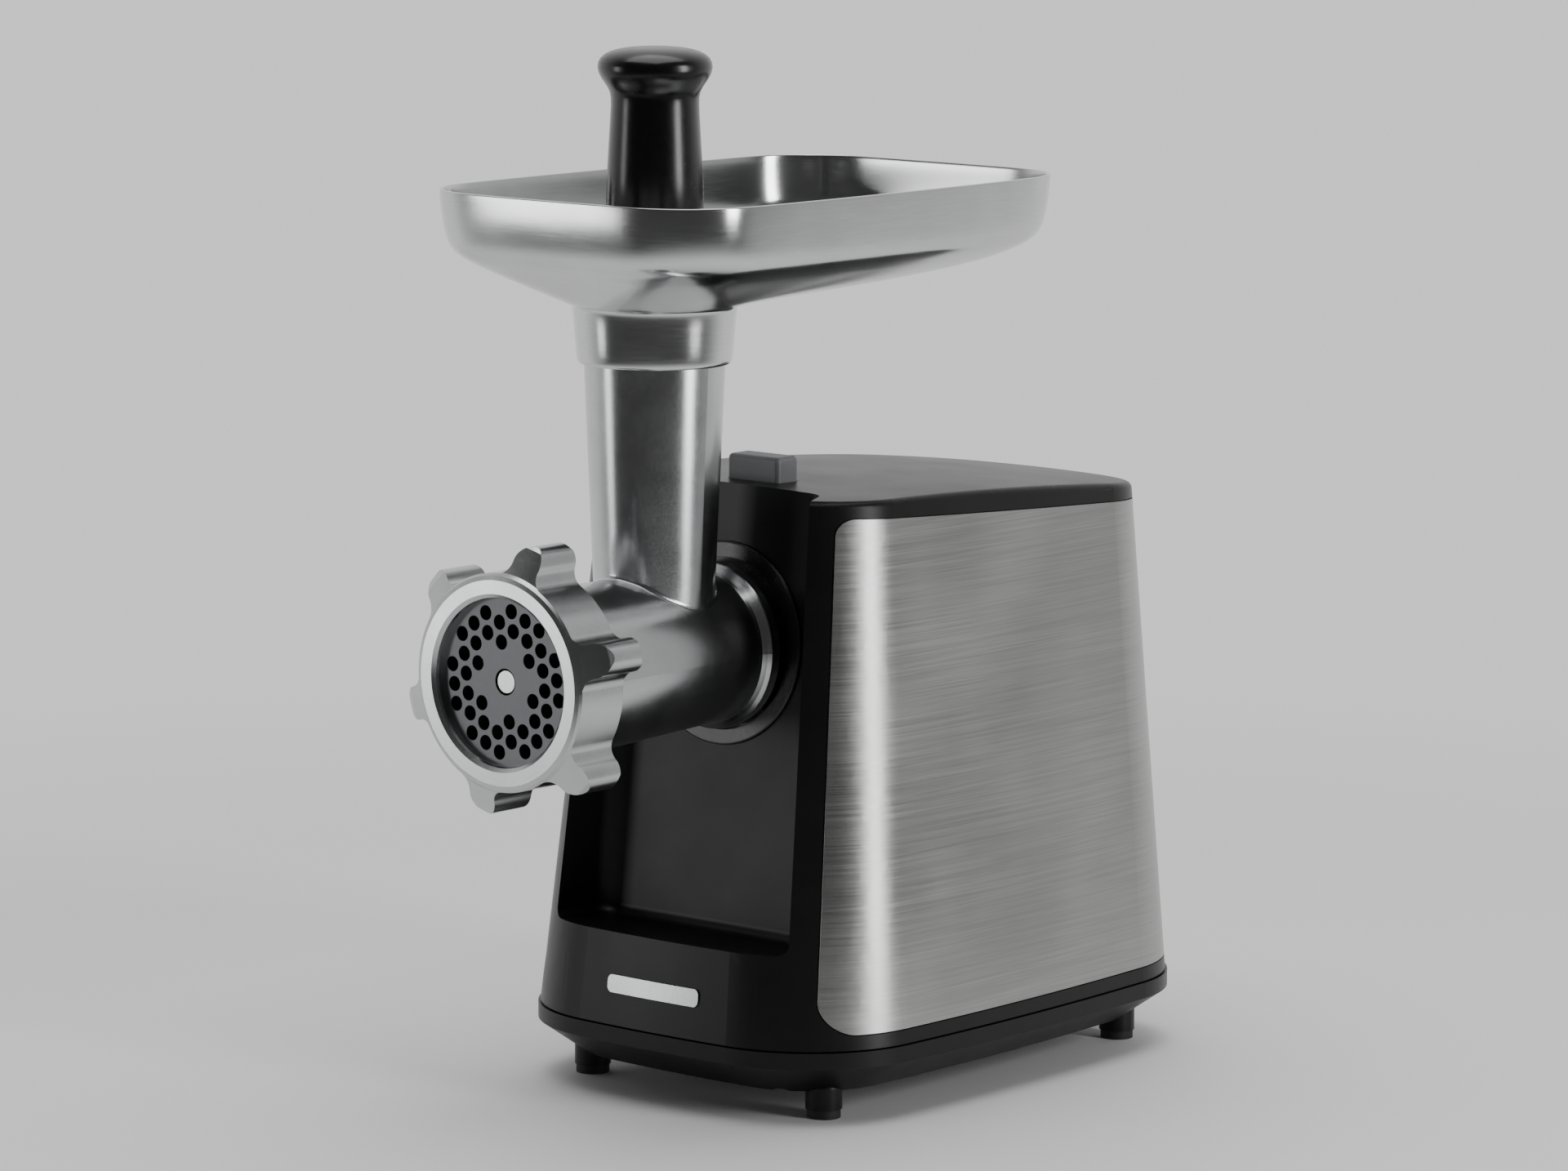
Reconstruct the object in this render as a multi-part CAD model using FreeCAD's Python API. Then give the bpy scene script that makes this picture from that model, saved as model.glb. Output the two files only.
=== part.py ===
import FreeCAD, Part
import math
import os

# Electric meat grinder.  Millimetres, +Z up, the ring nut faces -Y and the table is z = 0.
# The design is drawn about the middle of the four feet and is moved once, in save(), so that
# the origin is the middle of the bounding box's underside.

V = FreeCAD.Vector
X_AXIS = V(1, 0, 0)
Y_AXIS = V(0, 1, 0)
Z_AXIS = V(0, 0, 1)

# ---------------------------------------------------------------- driving dimensions
# housing, given at the seam above the base tray and at the crown
seam_z = 26.0
crown_z = 207.0
seam_half_w = 77.5
crown_half_w = 61.0
seam_front = -110.0
crown_front = -90.0
seam_rear = 108.0
crown_rear = 98.0
seam_corner_r = 46.0
crown_corner_r = 36.0
side_bow_r = 1100.0
end_bow_r = 530.0
dome_r = 1400.0
dome_apex_y = -74.0
crown_edge_r = 2.6
shell_wall = 3.0

# recess in the front of the housing, behind the barrel
recess_floor_y = -72.5
recess_lean_deg = 5.3
recess_ledge_z = 57.0
recess_half_w_low = 51.5
recess_half_w_high = 45.5
recess_taper = 7.0
recess_corner_r = 8.0
recess_ledge_r = 12.0

# steel side panels
panel_t = 1.0
panel_gap = 0.4
bed_gap = 0.15
panel_set = 13.4
panel_low_z = 31.0
panel_below_crown = 6.5
panel_low_r = 10.0
panel_high_r = 6.0
panel_inner_x = 12.0

# base tray and feet
tray_lip_out = 0.6
band_low_z = 20.0
tray_floor_z = 9.5
tray_floor_inset = 15.0
base_wall = 2.5
seam_gap = 0.5
lip_clear = 0.8
lip_t = 1.5
lip_h = 2.5
foot_x = 51.5
foot_y = 80.8
leg_r = 6.2
leg_top_z = 13.5
pad_r = 5.7
pad_h = 3.0
pad_stem_r = 2.5
pad_stem_h = 3.5
floor_slot_w = 3.0
floor_slot_pitch = 7.0

# barrel, feed tube and what fits them
axis_z = 153.5
nut_front_y = -185.0
nut_depth = 21.0
nut_lip_t = 4.0
plate_r = 31.0
plate_t = 5.0
plate_overlap = 3.5
head_rim_t = 2.2
nut_wall = 2.6
nut_opening_r = plate_r - plate_overlap
thread_r = plate_r + head_rim_t
thread_clear = 0.08
nut_r = thread_r + nut_wall
lobe_count = 6
lobe_reach = 10.2
lobe_tip_r = nut_r + lobe_reach
lobe_end_r = 5.6
lobe_root_r = 5.0
lobe_phase_deg = 14.0
plate_hole_r = 2.5
plate_pitch = 6.5
plate_turn_deg = 7.4
plate_bore_r = 4.4
plate_clear = 0.15
plate_shoulder = 2.5
chamber_r = plate_r - plate_shoulder
knife_t = 6.0
knife_gap = 0.3
knife_side_gap = 2.5
knife_r = chamber_r - knife_side_gap
barrel_front_r = 28.2
barrel_rear_r = 25.7
flight_r = 20.0
flight_clear = 0.5
barrel_bore_r = flight_r + flight_clear
hub_r = 26.0
hub_len = 31.4
lug_rise = 2.0
lug_r = hub_r + lug_rise
lug_t = 5.0
flange_y = -80.0
hub_end_y = flange_y + hub_len
tube_top_z = 267.0
tube_top_r = 24.0
tube_to_flange = 4.0
tube_y = flange_y - tube_to_flange - tube_top_r
tube_draft_deg = 2.4
tube_wall = 3.2
saddle_r = 2.0

# socket ring in the recess
ring_inner_clear = 1.0
ring_inner_r = lug_r + ring_inner_clear
flange_clear = 0.7
flange_r = ring_inner_r - flange_clear
socket_wall = 2.5
cup_r = ring_inner_r + socket_wall
cup_clear = 0.3
ring_lip = 2.7
ring_outer_r = cup_r + ring_lip
ring_proud = 1.2

# food tray
tray_half_w = 66.0
tray_front = tube_y - 56.0
tray_rear = tube_y + 152.0
tray_corner_r = 32.0
tray_side_bow_r = 1500.0
tray_end_bow_r = 900.0
rim_z = 308.0
tray_wall_h = 16.5
tray_knee = 9.0
tray_t = 1.6
throat_step = 1.4
throat_r = tube_top_r - tube_wall - throat_step
collar_top_wall = 3.1
collar_low_wall = 1.6
collar_top_r = tube_top_r + collar_top_wall
collar_low_r = tube_top_r + collar_low_wall
collar_h = 20.0
collar_clear = 0.08
seat_clear = 0.1

# pusher
pusher_top_z = 355.0
pusher_low_z = 178.0
pusher_clear = 0.77
stem_r = (tube_top_r - (tube_top_z - pusher_low_z) * math.tan(math.radians(tube_draft_deg))
          - tube_wall - pusher_clear)
neck_in = 1.8
knob_out = 2.7
neck_r = stem_r - neck_in
knob_r = stem_r + knob_out
pusher_wall = 2.6
pusher_foot_t = 3.0

# release button and its latch
button_w = 22.5
button_d = 10.7
button_y = -52.6
button_proud = 8.5
button_corner_r = 1.5
button_edge_r = 1.6
button_skirt = 2.0
button_clear = 0.4
button_travel = 4.0
pin_r = 2.5
latch_depth = 3.0
latch_clear = 0.6
head_twist_deg = 35.0
guide_h = 5.0

# gear train: teeth and modules, from the motor to the auger
motor_teeth = 9
first_wheel_teeth = 48
first_pinion_teeth = 10
second_wheel_teeth = 40
second_pinion_teeth = 12
output_teeth = 42
module_1 = 1.0
module_2 = 1.25
module_3 = 1.5
pressure_deg = 25.0
addendum = 0.8
dedendum = 1.1
backlash = 0.16
second_gear_dir_deg = -62.0
first_gear_dir_deg = -118.0
motor_dir_deg = -82.0
gear_pin_r = 3.0
running_clear = 0.05

# motor
stator_half = 29.0
stator_bore_r = 20.6
rotor_r = 20.0
rotor_shaft_r = 4.0
stack_front_y = 22.0
stack_len = 40.0

# rear cover, switch and cord inlet
cover_half_w = 33.0
cover_low_z = 40.0
cover_high_z = 172.0
cover_r = 8.0
cover_t = 2.0
cover_gap = 0.35
switch_z = 152.0
rocker_w = 12.0
rocker_h = 19.8
switch_wall = 1.3
inlet_z = 52.0
inlet_r = 6.0
vent_h = 2.6
vent_pitch = 6.5
vent_in = 9.0
vent_from_inlet = 8.0
vent_from_switch = 8.0

origin_y = (nut_front_y + seam_rear + tray_lip_out) / 2

os.makedirs("parts", exist_ok=True)


# ---------------------------------------------------------------- helpers
def save(node, *shapes):
    """Write one node; several shapes make one node of separate solids."""
    shape = shapes[0] if len(shapes) == 1 else Part.makeCompound(list(shapes))
    shape = shape.copy()
    shape.translate(V(0, -origin_y, 0))
    shape.exportStep("parts/" + node + ".step")


def lerp(a, b, t):
    return a + (b - a) * t


def polar(r, deg):
    return r * math.cos(math.radians(deg)), r * math.sin(math.radians(deg))


def block(x0, x1, y0, y1, z0, z1):
    return Part.makeBox(x1 - x0, y1 - y0, z1 - z0, V(x0, y0, z0))


def rod_y(r, y0, y1, x=0.0, z=axis_z):
    return Part.makeCylinder(r, y1 - y0, V(x, y0, z), Y_AXIS)


def rod_z(r, z0, z1, x=0.0, y=0.0):
    return Part.makeCylinder(r, z1 - z0, V(x, y, z0), Z_AXIS)


def ring_y(r_out, r_in, y0, y1, x=0.0, z=axis_z):
    return rod_y(r_out, y0, y1, x, z).cut(rod_y(r_in, y0 - 1, y1 + 1, x, z))


def turn_about_y(profile, x=0.0, z=axis_z):
    """Solid of revolution about a line along Y; profile is a list of (radius, y)."""
    points = [V(x + r, y, z) for r, y in profile]
    face = Part.Face(Part.makePolygon(points + [points[0]]))
    return face.revolve(V(x, 0, z), Y_AXIS, 360)


def turn_about_z(wire_edges, x=0.0, y=0.0):
    face = Part.Face(Part.Wire(wire_edges))
    return face.revolve(V(x, y, 0), Z_AXIS, 360)


def line(p, q):
    return Part.LineSegment(p, q).toShape()


def arc(p, q, r):
    return Part.Arc(p, q, r).toShape()


def fuse(shapes):
    return shapes[0].multiFuse(shapes[1:]).removeSplitter()


def circles_meet(c1, r1, c2, r2, sign):
    """One of the two points where circles in the XY plane cross; sign picks it."""
    gap = c2 - c1
    d = gap.Length
    along = (r1 * r1 - r2 * r2 + d * d) / (2 * d)
    high = math.sqrt(r1 * r1 - along * along)
    unit = gap * (1 / d)
    return c1 + unit * along + V(-unit.y, unit.x, 0) * (sign * high)


def oval_points(half_w, front, rear, corner_r, side_r, end_r, inset=0.0):
    """Rounded rectangle with bowed sides as eight tangent arcs, two points for each arc."""
    mid = (front + rear) / 2
    side_c = V(half_w - side_r, mid, 0)
    ends = ((V(0, front + end_r, 0), -1), (V(0, rear - end_r, 0), 1))
    corners = []
    for end_c, way in ends:
        centre = circles_meet(side_c, side_r - corner_r, end_c, end_r - corner_r, way)
        on_side = side_c + (centre - side_c).normalize() * (side_r - inset)
        on_end = end_c + (centre - end_c).normalize() * (end_r - inset)
        middle = (on_side + on_end) * 0.5 - centre
        corners.append((on_side, centre + middle.normalize() * (corner_r - inset), on_end))
    (side_f, knee_f, end_f), (side_b, knee_b, end_b) = corners

    def flip(p):
        return V(-p.x, p.y, 0)

    return [flip(end_f), V(0, front + inset, 0), end_f, knee_f, side_f, V(half_w - inset, mid, 0),
            side_b, knee_b, end_b, V(0, rear - inset, 0), flip(end_b), flip(knee_b), flip(side_b),
            V(inset - half_w, mid, 0), flip(side_f), flip(knee_f)]


def arc_loop(points, z):
    """Closed wire of arcs through points, which alternate between arc ends and arc middles."""
    loop = [V(p.x, p.y, z) for p in points]
    loop.append(loop[0])
    return Part.Wire([arc(loop[i], loop[i + 1], loop[i + 2]) for i in range(0, len(points), 2)])


def loft(*wires):
    return Part.makeLoft(list(wires), True, True)


def rounded(points, radii):
    """Closed wire through points with a round of its own radius at each corner."""
    edges = []
    count = len(points)
    rounds = []
    for i, (p, r) in enumerate(zip(points, radii)):
        before = (points[i - 1] - p).normalize()
        after = (points[(i + 1) % count] - p).normalize()
        half = before.getAngle(after) / 2
        reach = r / math.tan(half)
        bisector = (before + after).normalize()
        centre = p + bisector * (r / math.sin(half))
        rounds.append((p + before * reach, centre - bisector * r, p + after * reach))
    for i, (start, mid, end) in enumerate(rounds):
        edges.append(arc(start, mid, end))
        edges.append(line(end, rounds[(i + 1) % count][0]))
    return Part.Wire(edges)


def prism(wire, direction):
    return Part.Face(wire).extrude(direction)


def edges_near(shape, test):
    return [e for e in shape.Edges if test(e.BoundBox.Center, e)]


def mirrored_x(shape):
    return shape.mirror(V(0, 0, 0), X_AXIS)


# ---------------------------------------------------------------- housing surfaces
def body_share(z):
    return (z - seam_z) / (crown_z - seam_z)


def body_front(z):
    return lerp(seam_front, crown_front, body_share(z))


def body_rear(z):
    return lerp(seam_rear, crown_rear, body_share(z))


def body_section(z, inset=0.0):
    t = body_share(z)
    points = oval_points(lerp(seam_half_w, crown_half_w, t), body_front(z), body_rear(z),
                         lerp(seam_corner_r, crown_corner_r, t), side_bow_r, end_bow_r, inset)
    return arc_loop(points, z)


def crown_at(y):
    return crown_z - (y - dome_apex_y) ** 2 / (2 * dome_r)


def body_block(inset=0.0, low_z=seam_z):
    """The housing's outer form, or the same form moved inwards by inset."""
    tall = loft(body_section(low_z, inset), body_section(crown_z + 8, inset))
    dome = Part.makeSphere(dome_r - inset, V(0, dome_apex_y, crown_z - dome_r))
    return tall.common(dome)


def floor_y(z):
    return recess_floor_y + (z - axis_z) * math.tan(math.radians(recess_lean_deg))


def recess_block(grow=0.0):
    """The space cut out of the front of the housing."""
    out_y = seam_front - 20
    sections = []
    low = recess_ledge_z - grow
    high = crown_z + 15
    for z in (low, high):
        t = (z - recess_ledge_z) / (crown_z - recess_ledge_z)
        back_w = lerp(recess_half_w_low, recess_half_w_high, t) - recess_taper + grow
        back_y = floor_y(z) + grow
        flare = recess_taper / (floor_y(z) - body_front(z) - recess_taper)
        front_w = back_w + flare * (back_y - out_y)
        corner = [V(-front_w, out_y, z), V(front_w, out_y, z), V(back_w, back_y, z), V(-back_w, back_y, z)]
        sections.append(Part.makePolygon(corner + [corner[0]]))
    space = loft(*sections)
    upright = edges_near(space, lambda c, e: e.BoundBox.ZLength > 20 and c.y > out_y + 10)
    space = space.makeFillet(recess_corner_r + grow / 2, upright)
    ledge = edges_near(space, lambda c, e: e.BoundBox.ZLength < 1 and c.z < low + 1 and c.y > out_y + 1)
    return space.makeFillet(recess_ledge_r - recess_corner_r + grow / 2, ledge)


def side_window(gap):
    """Outline of a side panel seen from the side, as a prism on the +X side."""
    top_front = body_front(crown_z) + panel_set - gap
    top_rear = body_rear(crown_z) - panel_set + gap
    outline = [V(panel_inner_x, body_front(panel_low_z) + panel_set - gap, panel_low_z - gap),
               V(panel_inner_x, body_rear(panel_low_z) - panel_set + gap, panel_low_z - gap),
               V(panel_inner_x, top_rear, crown_at(top_rear) - panel_below_crown + gap),
               V(panel_inner_x, top_front, crown_at(top_front) - panel_below_crown + gap)]
    radii = [panel_low_r + gap, panel_low_r + gap, panel_high_r + gap, panel_high_r + gap]
    return prism(rounded(outline, radii), V(2 * seam_half_w, 0, 0))


def rear_window(gap, low_z=cover_low_z, high_z=cover_high_z, half_w=cover_half_w):
    outline = [V(-half_w - gap, 0, low_z - gap), V(half_w + gap, 0, low_z - gap),
               V(half_w + gap, 0, high_z + gap), V(-half_w - gap, 0, high_z + gap)]
    return prism(rounded(outline, [cover_r + gap] * 4), V(0, 2 * seam_rear, 0))


def rounded_body():
    """The outer form with its crown edge rounded all the way round."""
    form = body_block()
    crown_low = crown_at(seam_rear) - 2 * crown_edge_r
    return form.makeFillet(crown_edge_r, edges_near(form, lambda c, e: e.BoundBox.ZMin > crown_low))


outer = rounded_body()
recess = recess_block()
rear_lean_deg = math.degrees(math.atan((seam_rear - crown_rear) / (crown_z - seam_z)))


def rear_skin_y(x, z):
    """Y of the housing's rear surface."""
    return body_rear(z) - (end_bow_r - math.sqrt(end_bow_r ** 2 - x * x))


# ---------------------------------------------------------------- housing shell and what closes it
button_crown = crown_at(button_y)
post_side_in = 36.0
post_end_in = 20.0
rib_t = 2.5
posts = [(sx * (seam_half_w - post_side_in), y)
         for sx in (-1, 1) for y in (seam_front + post_end_in, seam_rear - post_end_in)]
post_r = 5.0
post_top_z = 48.0
screw_seat_z = band_low_z - 2.0
screw_r = 1.6
screw_bite = 0.05
screw_head_r = 3.1
screw_clear = 0.2
cover_screw_in = 4.5
cover_screws = [(sx * (cover_half_w - cover_screw_in), z)
                for sx in (-1, 1) for z in (cover_low_z + cover_screw_in, cover_high_z - cover_screw_in)]
cover_ledge = 5.0
boss_len = 9.0
boss_r = 4.0
head_sunk = 0.8


def behind_floor(proud):
    """Everything behind a plane that is parallel to the recess floor and proud of it."""
    slab = block(-seam_half_w, seam_half_w, 0, 2 * seam_half_w, -crown_z, crown_z)
    slab.rotate(V(0, 0, 0), X_AXIS, -recess_lean_deg)
    slab.translate(V(0, recess_floor_y - proud, axis_z))
    return slab


def button_space(clear, z0, z1):
    w = button_w / 2 + clear
    d = button_d / 2 + clear
    corner = [V(-w, button_y - d, z0), V(w, button_y - d, z0), V(w, button_y + d, z0), V(-w, button_y + d, z0)]
    return prism(rounded(corner, [button_corner_r + clear] * 4), V(0, 0, z1 - z0))


def make_housing():
    inside = body_block(shell_wall, seam_z - 1).cut(recess_block(shell_wall))
    shell = outer.cut(recess).cut(inside)
    bed = side_window(panel_gap).cut(body_block(panel_t + bed_gap, seam_z - 1))
    cover_bed = rear_window(cover_gap).cut(body_block(cover_t + bed_gap, seam_z - 1))
    shell = shell.cut(bed).cut(mirrored_x(bed)).cut(cover_bed)
    shell = shell.cut(button_space(button_clear, button_crown - 15, button_crown + 5))
    for x, y in posts:
        y0, y1 = sorted((y, math.copysign(seam_rear - seam_front, y)))
        rib = block(x - rib_t / 2, x + rib_t / 2, y0, y1, seam_z + 2 * lip_h, post_top_z)
        post = rod_z(post_r, seam_z, post_top_z, x, y).fuse(rib).common(outer)
        shell = shell.fuse(post).cut(rod_z(screw_r + screw_bite, seam_z - 1, post_top_z - 4, x, y))
    hole = rear_window(-cover_ledge)
    for x, z in cover_screws:
        skin = rear_skin_y(x, z)
        boss = rod_y(boss_r, skin - boss_len, skin - cover_t - 2 * bed_gap, x, z)
        shell = shell.fuse(boss)
        hole = hole.cut(rod_y(boss_r, skin - boss_len, 2 * seam_rear, x, z))
    shell = shell.cut(hole)
    for x, z in cover_screws:
        skin = rear_skin_y(x, z)
        shell = shell.cut(rod_y(screw_r + screw_bite, skin - boss_len + 1, skin + 1, x, z))
    return shell.cut(rod_y(cup_r + cup_clear, seam_front, recess_floor_y + 30))


def make_panel():
    return side_window(0).common(outer).cut(body_block(panel_t, seam_z - 1))


def on_rear(shape, z):
    """Move a shape drawn with y = 0 on the rear surface, +Y outwards, to height z on that surface."""
    shape = shape.copy()
    shape.rotate(V(0, 0, 0), X_AXIS, rear_lean_deg)
    shape.translate(V(0, body_rear(z), z))
    return shape


def switch_box(grow, y0, y1):
    w = rocker_w / 2 + switch_wall + grow
    h = rocker_h / 2 + switch_wall + grow
    return block(-w, w, y0, y1, -h, h)


def make_rear_cover():
    cover = rear_window(0).common(outer).cut(body_block(cover_t, seam_z - 1))
    half_w = cover_half_w - vent_in
    low = inlet_z + inlet_r + vent_from_inlet
    count = int((switch_z - rocker_h / 2 - vent_from_switch - low) / vent_pitch)
    for i in range(count):
        z = low + i * vent_pitch
        slot = [V(-half_w, 0, z), V(half_w, 0, z), V(half_w, 0, z + vent_h), V(-half_w, 0, z + vent_h)]
        cover = cover.cut(prism(rounded(slot, [vent_h / 2 - 0.05] * 4), V(0, 2 * seam_rear, 0)))
    for x, z in cover_screws:
        cover = cover.cut(rod_y(screw_r + screw_clear, seam_rear - 40, seam_rear + 5, x, z))
        cover = cover.cut(rod_y(screw_head_r + screw_clear, rear_skin_y(x, z) - head_sunk, seam_rear + 5, x, z))
    cover = cover.cut(on_rear(switch_box(0.1, -20, 10), switch_z))
    return cover.cut(on_rear(rod_y(inlet_r + 0.1, -20, 10, 0, 0), inlet_z))


def tray_section(z, inset):
    points = oval_points(seam_half_w + tray_lip_out, seam_front - tray_lip_out, seam_rear + tray_lip_out,
                         seam_corner_r, side_bow_r, end_bow_r, inset)
    return arc_loop(points, z)


def base_block(inset):
    band = loft(tray_section(band_low_z, inset), tray_section(seam_z - seam_gap, inset))
    slope = loft(tray_section(tray_floor_z + inset, tray_floor_inset + 0.6 * inset),
                 tray_section(band_low_z, inset))
    return band.fuse(slope)


def make_base():
    base = base_block(0).cut(base_block(base_wall))
    out = shell_wall + tray_lip_out + lip_clear
    inner = out + lip_t
    lip = loft(tray_section(band_low_z, out), tray_section(seam_z + lip_h, out))
    lip = lip.cut(loft(tray_section(band_low_z - 1, inner), tray_section(seam_z + lip_h + 1, inner)))
    fill = loft(tray_section(band_low_z, base_wall / 2), tray_section(band_low_z + lip_t, base_wall / 2))
    fill = fill.cut(loft(tray_section(band_low_z - 1, inner), tray_section(seam_z, inner)))
    solids = [base, lip, fill]
    around = block(-seam_half_w - 10, seam_half_w + 10, seam_front - 10, seam_rear + 10, 0, band_low_z)
    low_outside = around.cut(base_block(base_wall / 4))
    for x, y in posts:
        solids.append(rod_z(post_r - 0.5, tray_floor_z + 1, seam_z, x, y).cut(low_outside))
    for sx in (-1, 1):
        for sy in (-1, 1):
            x, y = sx * foot_x, sy * foot_y
            leg = rod_z(leg_r, pad_h, leg_top_z, x, y)
            top = [e for e in leg.Edges if e.BoundBox.ZMin > leg_top_z - 0.1]
            solids.append(leg.makeFillet(leg_r * 0.55, top))
    base = fuse(solids)
    for x, y in posts:
        base = base.cut(rod_z(screw_r + screw_clear, 0, seam_z + 5, x, y))
        base = base.cut(rod_z(post_r + lip_clear / 2, seam_z, seam_z + 5, x, y))
        base = base.cut(rod_z(screw_head_r + 0.5, 0, screw_seat_z, x, y))
    for sx in (-1, 1):
        for sy in (-1, 1):
            base = base.cut(rod_z(pad_stem_r + 0.05, 0, pad_h + pad_stem_h + 0.3, sx * foot_x, sy * foot_y))
    for i in range(-3, 4):
        x = i * floor_slot_pitch
        slot = block(x - floor_slot_w / 2, x + floor_slot_w / 2, -60, -10, 0, tray_floor_z + 2 * base_wall)
        base = base.cut(slot)
    return base


def screw_up(x, y, z, length):
    """Screw with its head below and a cross recess in the head."""
    body = rod_z(screw_head_r, z - 2, z, x, y).fuse(rod_z(screw_r, z, z + length, x, y))
    for dx, dy in ((2.0, 0.4), (0.4, 2.0)):
        body = body.cut(block(x - dx, x + dx, y - dy, y + dy, z - 2.1, z - 1))
    return body


def screw_in(x, y, z, length, way=-1):
    """Screw along Y; its head is at y and its shank runs towards way."""
    head = sorted((y, y - way * 1.8))
    shank = sorted((y, y + way * length))
    body = rod_y(screw_head_r, head[0], head[1], x, z).fuse(rod_y(screw_r, shank[0], shank[1], x, z))
    tip = y - way * 1.8
    for dx, dz in ((2.0, 0.4), (0.4, 2.0)):
        body = body.cut(block(x - dx, x + dx, tip - 0.8, tip + 0.8, z - dz, z + dz))
    return body


save("housing_shell", make_housing())
panel = make_panel()
save("side_panel_right", panel)
save("side_panel_left", mirrored_x(panel))
save("rear_cover", make_rear_cover())
save("base_tray", make_base())
save("base_screws", *[screw_up(x, y, screw_seat_z, post_top_z - screw_seat_z - 7) for x, y in posts])
save("rear_screws", *[screw_in(x, rear_skin_y(x, z) - head_sunk, z, boss_len - 2.0) for x, z in cover_screws])


def make_pad(x, y):
    return fuse([rod_z(pad_r, 0, pad_h, x, y), rod_z(pad_stem_r, pad_h - 0.5, pad_h + pad_stem_h, x, y)])


save("foot_pads", *[make_pad(sx * foot_x, sy * foot_y) for sx in (-1, 1) for sy in (-1, 1)])

# plain silver bar on the lower front
badge_half_w = 20.0
badge_low_z = 37.0
badge_high_z = 43.0
badge_t = 0.6


def make_badge():
    outline = [V(-badge_half_w, 0, badge_low_z), V(badge_half_w, 0, badge_low_z),
               V(badge_half_w, 0, badge_high_z), V(-badge_half_w, 0, badge_high_z)]
    window = prism(rounded(outline, [2.0] * 4), V(0, 2 * seam_front, 0))
    return window.common(body_block(-badge_t)).cut(body_block(0, seam_z - 1))


save("front_badge", make_badge())

# ---------------------------------------------------------------- socket ring in the recess
cup_back_y = -42.0
cup_back_t = 4.0
shaft_r = 7.0
bush_r = 10.0
lug_half_h = 9.0
lug_y = hub_end_y - 7.4
groove_clear = 0.3


def turned(shape, deg):
    shape = shape.copy()
    shape.rotate(V(0, 0, axis_z), Y_AXIS, deg)
    return shape


def lug_band(r, y0, y1, half_h):
    return rod_y(r, y0, y1).common(block(-r, r, y0, y1, axis_z - half_h, axis_z + half_h))


def make_socket():
    front = recess_floor_y - 10
    bezel = rod_y(ring_outer_r, front, recess_floor_y + 10).common(behind_floor(ring_proud))
    bezel = bezel.cut(behind_floor(0))
    cup = rod_y(cup_r, front, cup_back_y).common(behind_floor(ring_proud / 2))
    ring = bezel.fuse(cup)
    rim = edges_near(ring, lambda c, e: e.BoundBox.XLength > 2 * ring_outer_r - 1 and c.y < recess_floor_y - 0.9)
    ring = ring.makeFillet(0.7, rim)
    bore = fuse([rod_y(hub_r + running_clear, front, cup_back_y - cup_back_t),
                 rod_y(ring_inner_r, front, recess_floor_y + 3),
                 rod_y(lug_r + groove_clear, lug_y - groove_clear, lug_y + lug_t + groove_clear),
                 turned(lug_band(lug_r + groove_clear, front, lug_y + 1, lug_half_h + groove_clear),
                        head_twist_deg)])
    ring = ring.cut(bore).cut(rod_y(bush_r, cup_back_y - cup_back_t - 1, cup_back_y + 1))
    return ring.cut(rod_z(pin_r + running_clear, axis_z, axis_z + 2 * cup_r, 0, button_y))


save("socket_ring", make_socket())

# ---------------------------------------------------------------- release button and its latch
guide_top_z = axis_z + cup_r + guide_h
guide_half_w = 8.0
guide_half_d = 6.0
spring_h = 9.0
button_low_z = guide_top_z + spring_h
pin_low_z = axis_z + hub_r - latch_depth
skirt_t = 2.6
skirt_gap = 0.6
spring_r = 4.4
spring_wire_r = 0.6
spring_turns = 4.5


def make_button():
    top_z = button_crown + button_proud
    cap = button_space(0, button_low_z, top_z)
    cap = cap.makeFillet(button_edge_r, [e for e in cap.Edges if e.BoundBox.ZMin > top_z - 0.01])
    skirt_high = button_crown - shell_wall - skirt_gap
    half_w = button_w / 2 + button_skirt
    half_d = button_d / 2 + button_skirt - 0.5
    skirt = block(-half_w, half_w, button_y - half_d, button_y + half_d, skirt_high - skirt_t, skirt_high)
    return cap.fuse(skirt)


def make_guide():
    guide = block(-guide_half_w, guide_half_w, button_y - guide_half_d, button_y + guide_half_d,
                  axis_z, guide_top_z)
    guide = guide.cut(rod_y(cup_r, button_y - 10, button_y + 10))
    return guide.cut(rod_z(pin_r + running_clear, axis_z, guide_top_z + 1, 0, button_y))


def coil(r, wire_r, turns, low, high, x, y):
    """Spring with its axis along Z between low and high."""
    pitch = (high - low - 2 * wire_r) / turns
    path = Part.makeHelix(pitch, pitch * turns, r)
    ring = Part.Wire(Part.makeCircle(wire_r, V(r, 0, 0), Y_AXIS))
    spring = Part.Wire(path.Edges).makePipeShell([ring], True, True)
    spring.translate(V(x, y, low + wire_r))
    return spring


save("release_button", make_button())
save("lock_pin", rod_z(pin_r, pin_low_z, button_low_z, 0, button_y))
save("button_guide", make_guide())
save("button_spring", coil(spring_r, spring_wire_r, spring_turns, guide_top_z, button_low_z, 0, button_y))

# ---------------------------------------------------------------- head: barrel with feed tube
plate_front_y = nut_front_y + nut_lip_t
mouth_set = 0.3
mouth_y = plate_front_y + mouth_set
plate_back_y = plate_front_y + plate_t
knife_front_y = plate_back_y + knife_gap
knife_back_gap = 0.5
chamber_back_y = knife_front_y + knife_t + knife_back_gap
thread_back_y = nut_front_y + nut_depth
thread_pitch = 3.0
thread_deep = 0.7
hub_bore_r = 8.0
washer_y = -72.0
washer_r = 14.0
throat_back_y = washer_y + 2.0
key_r = 1.9
key_low_z = axis_z - plate_r + 0.4


def tube_r(z):
    return tube_top_r - (tube_top_z - z) * math.tan(math.radians(tube_draft_deg))


def cone_z(r0, r1, z0, z1, y):
    return Part.makeCone(r0, r1, z1 - z0, V(0, y, z0), Z_AXIS)


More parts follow.
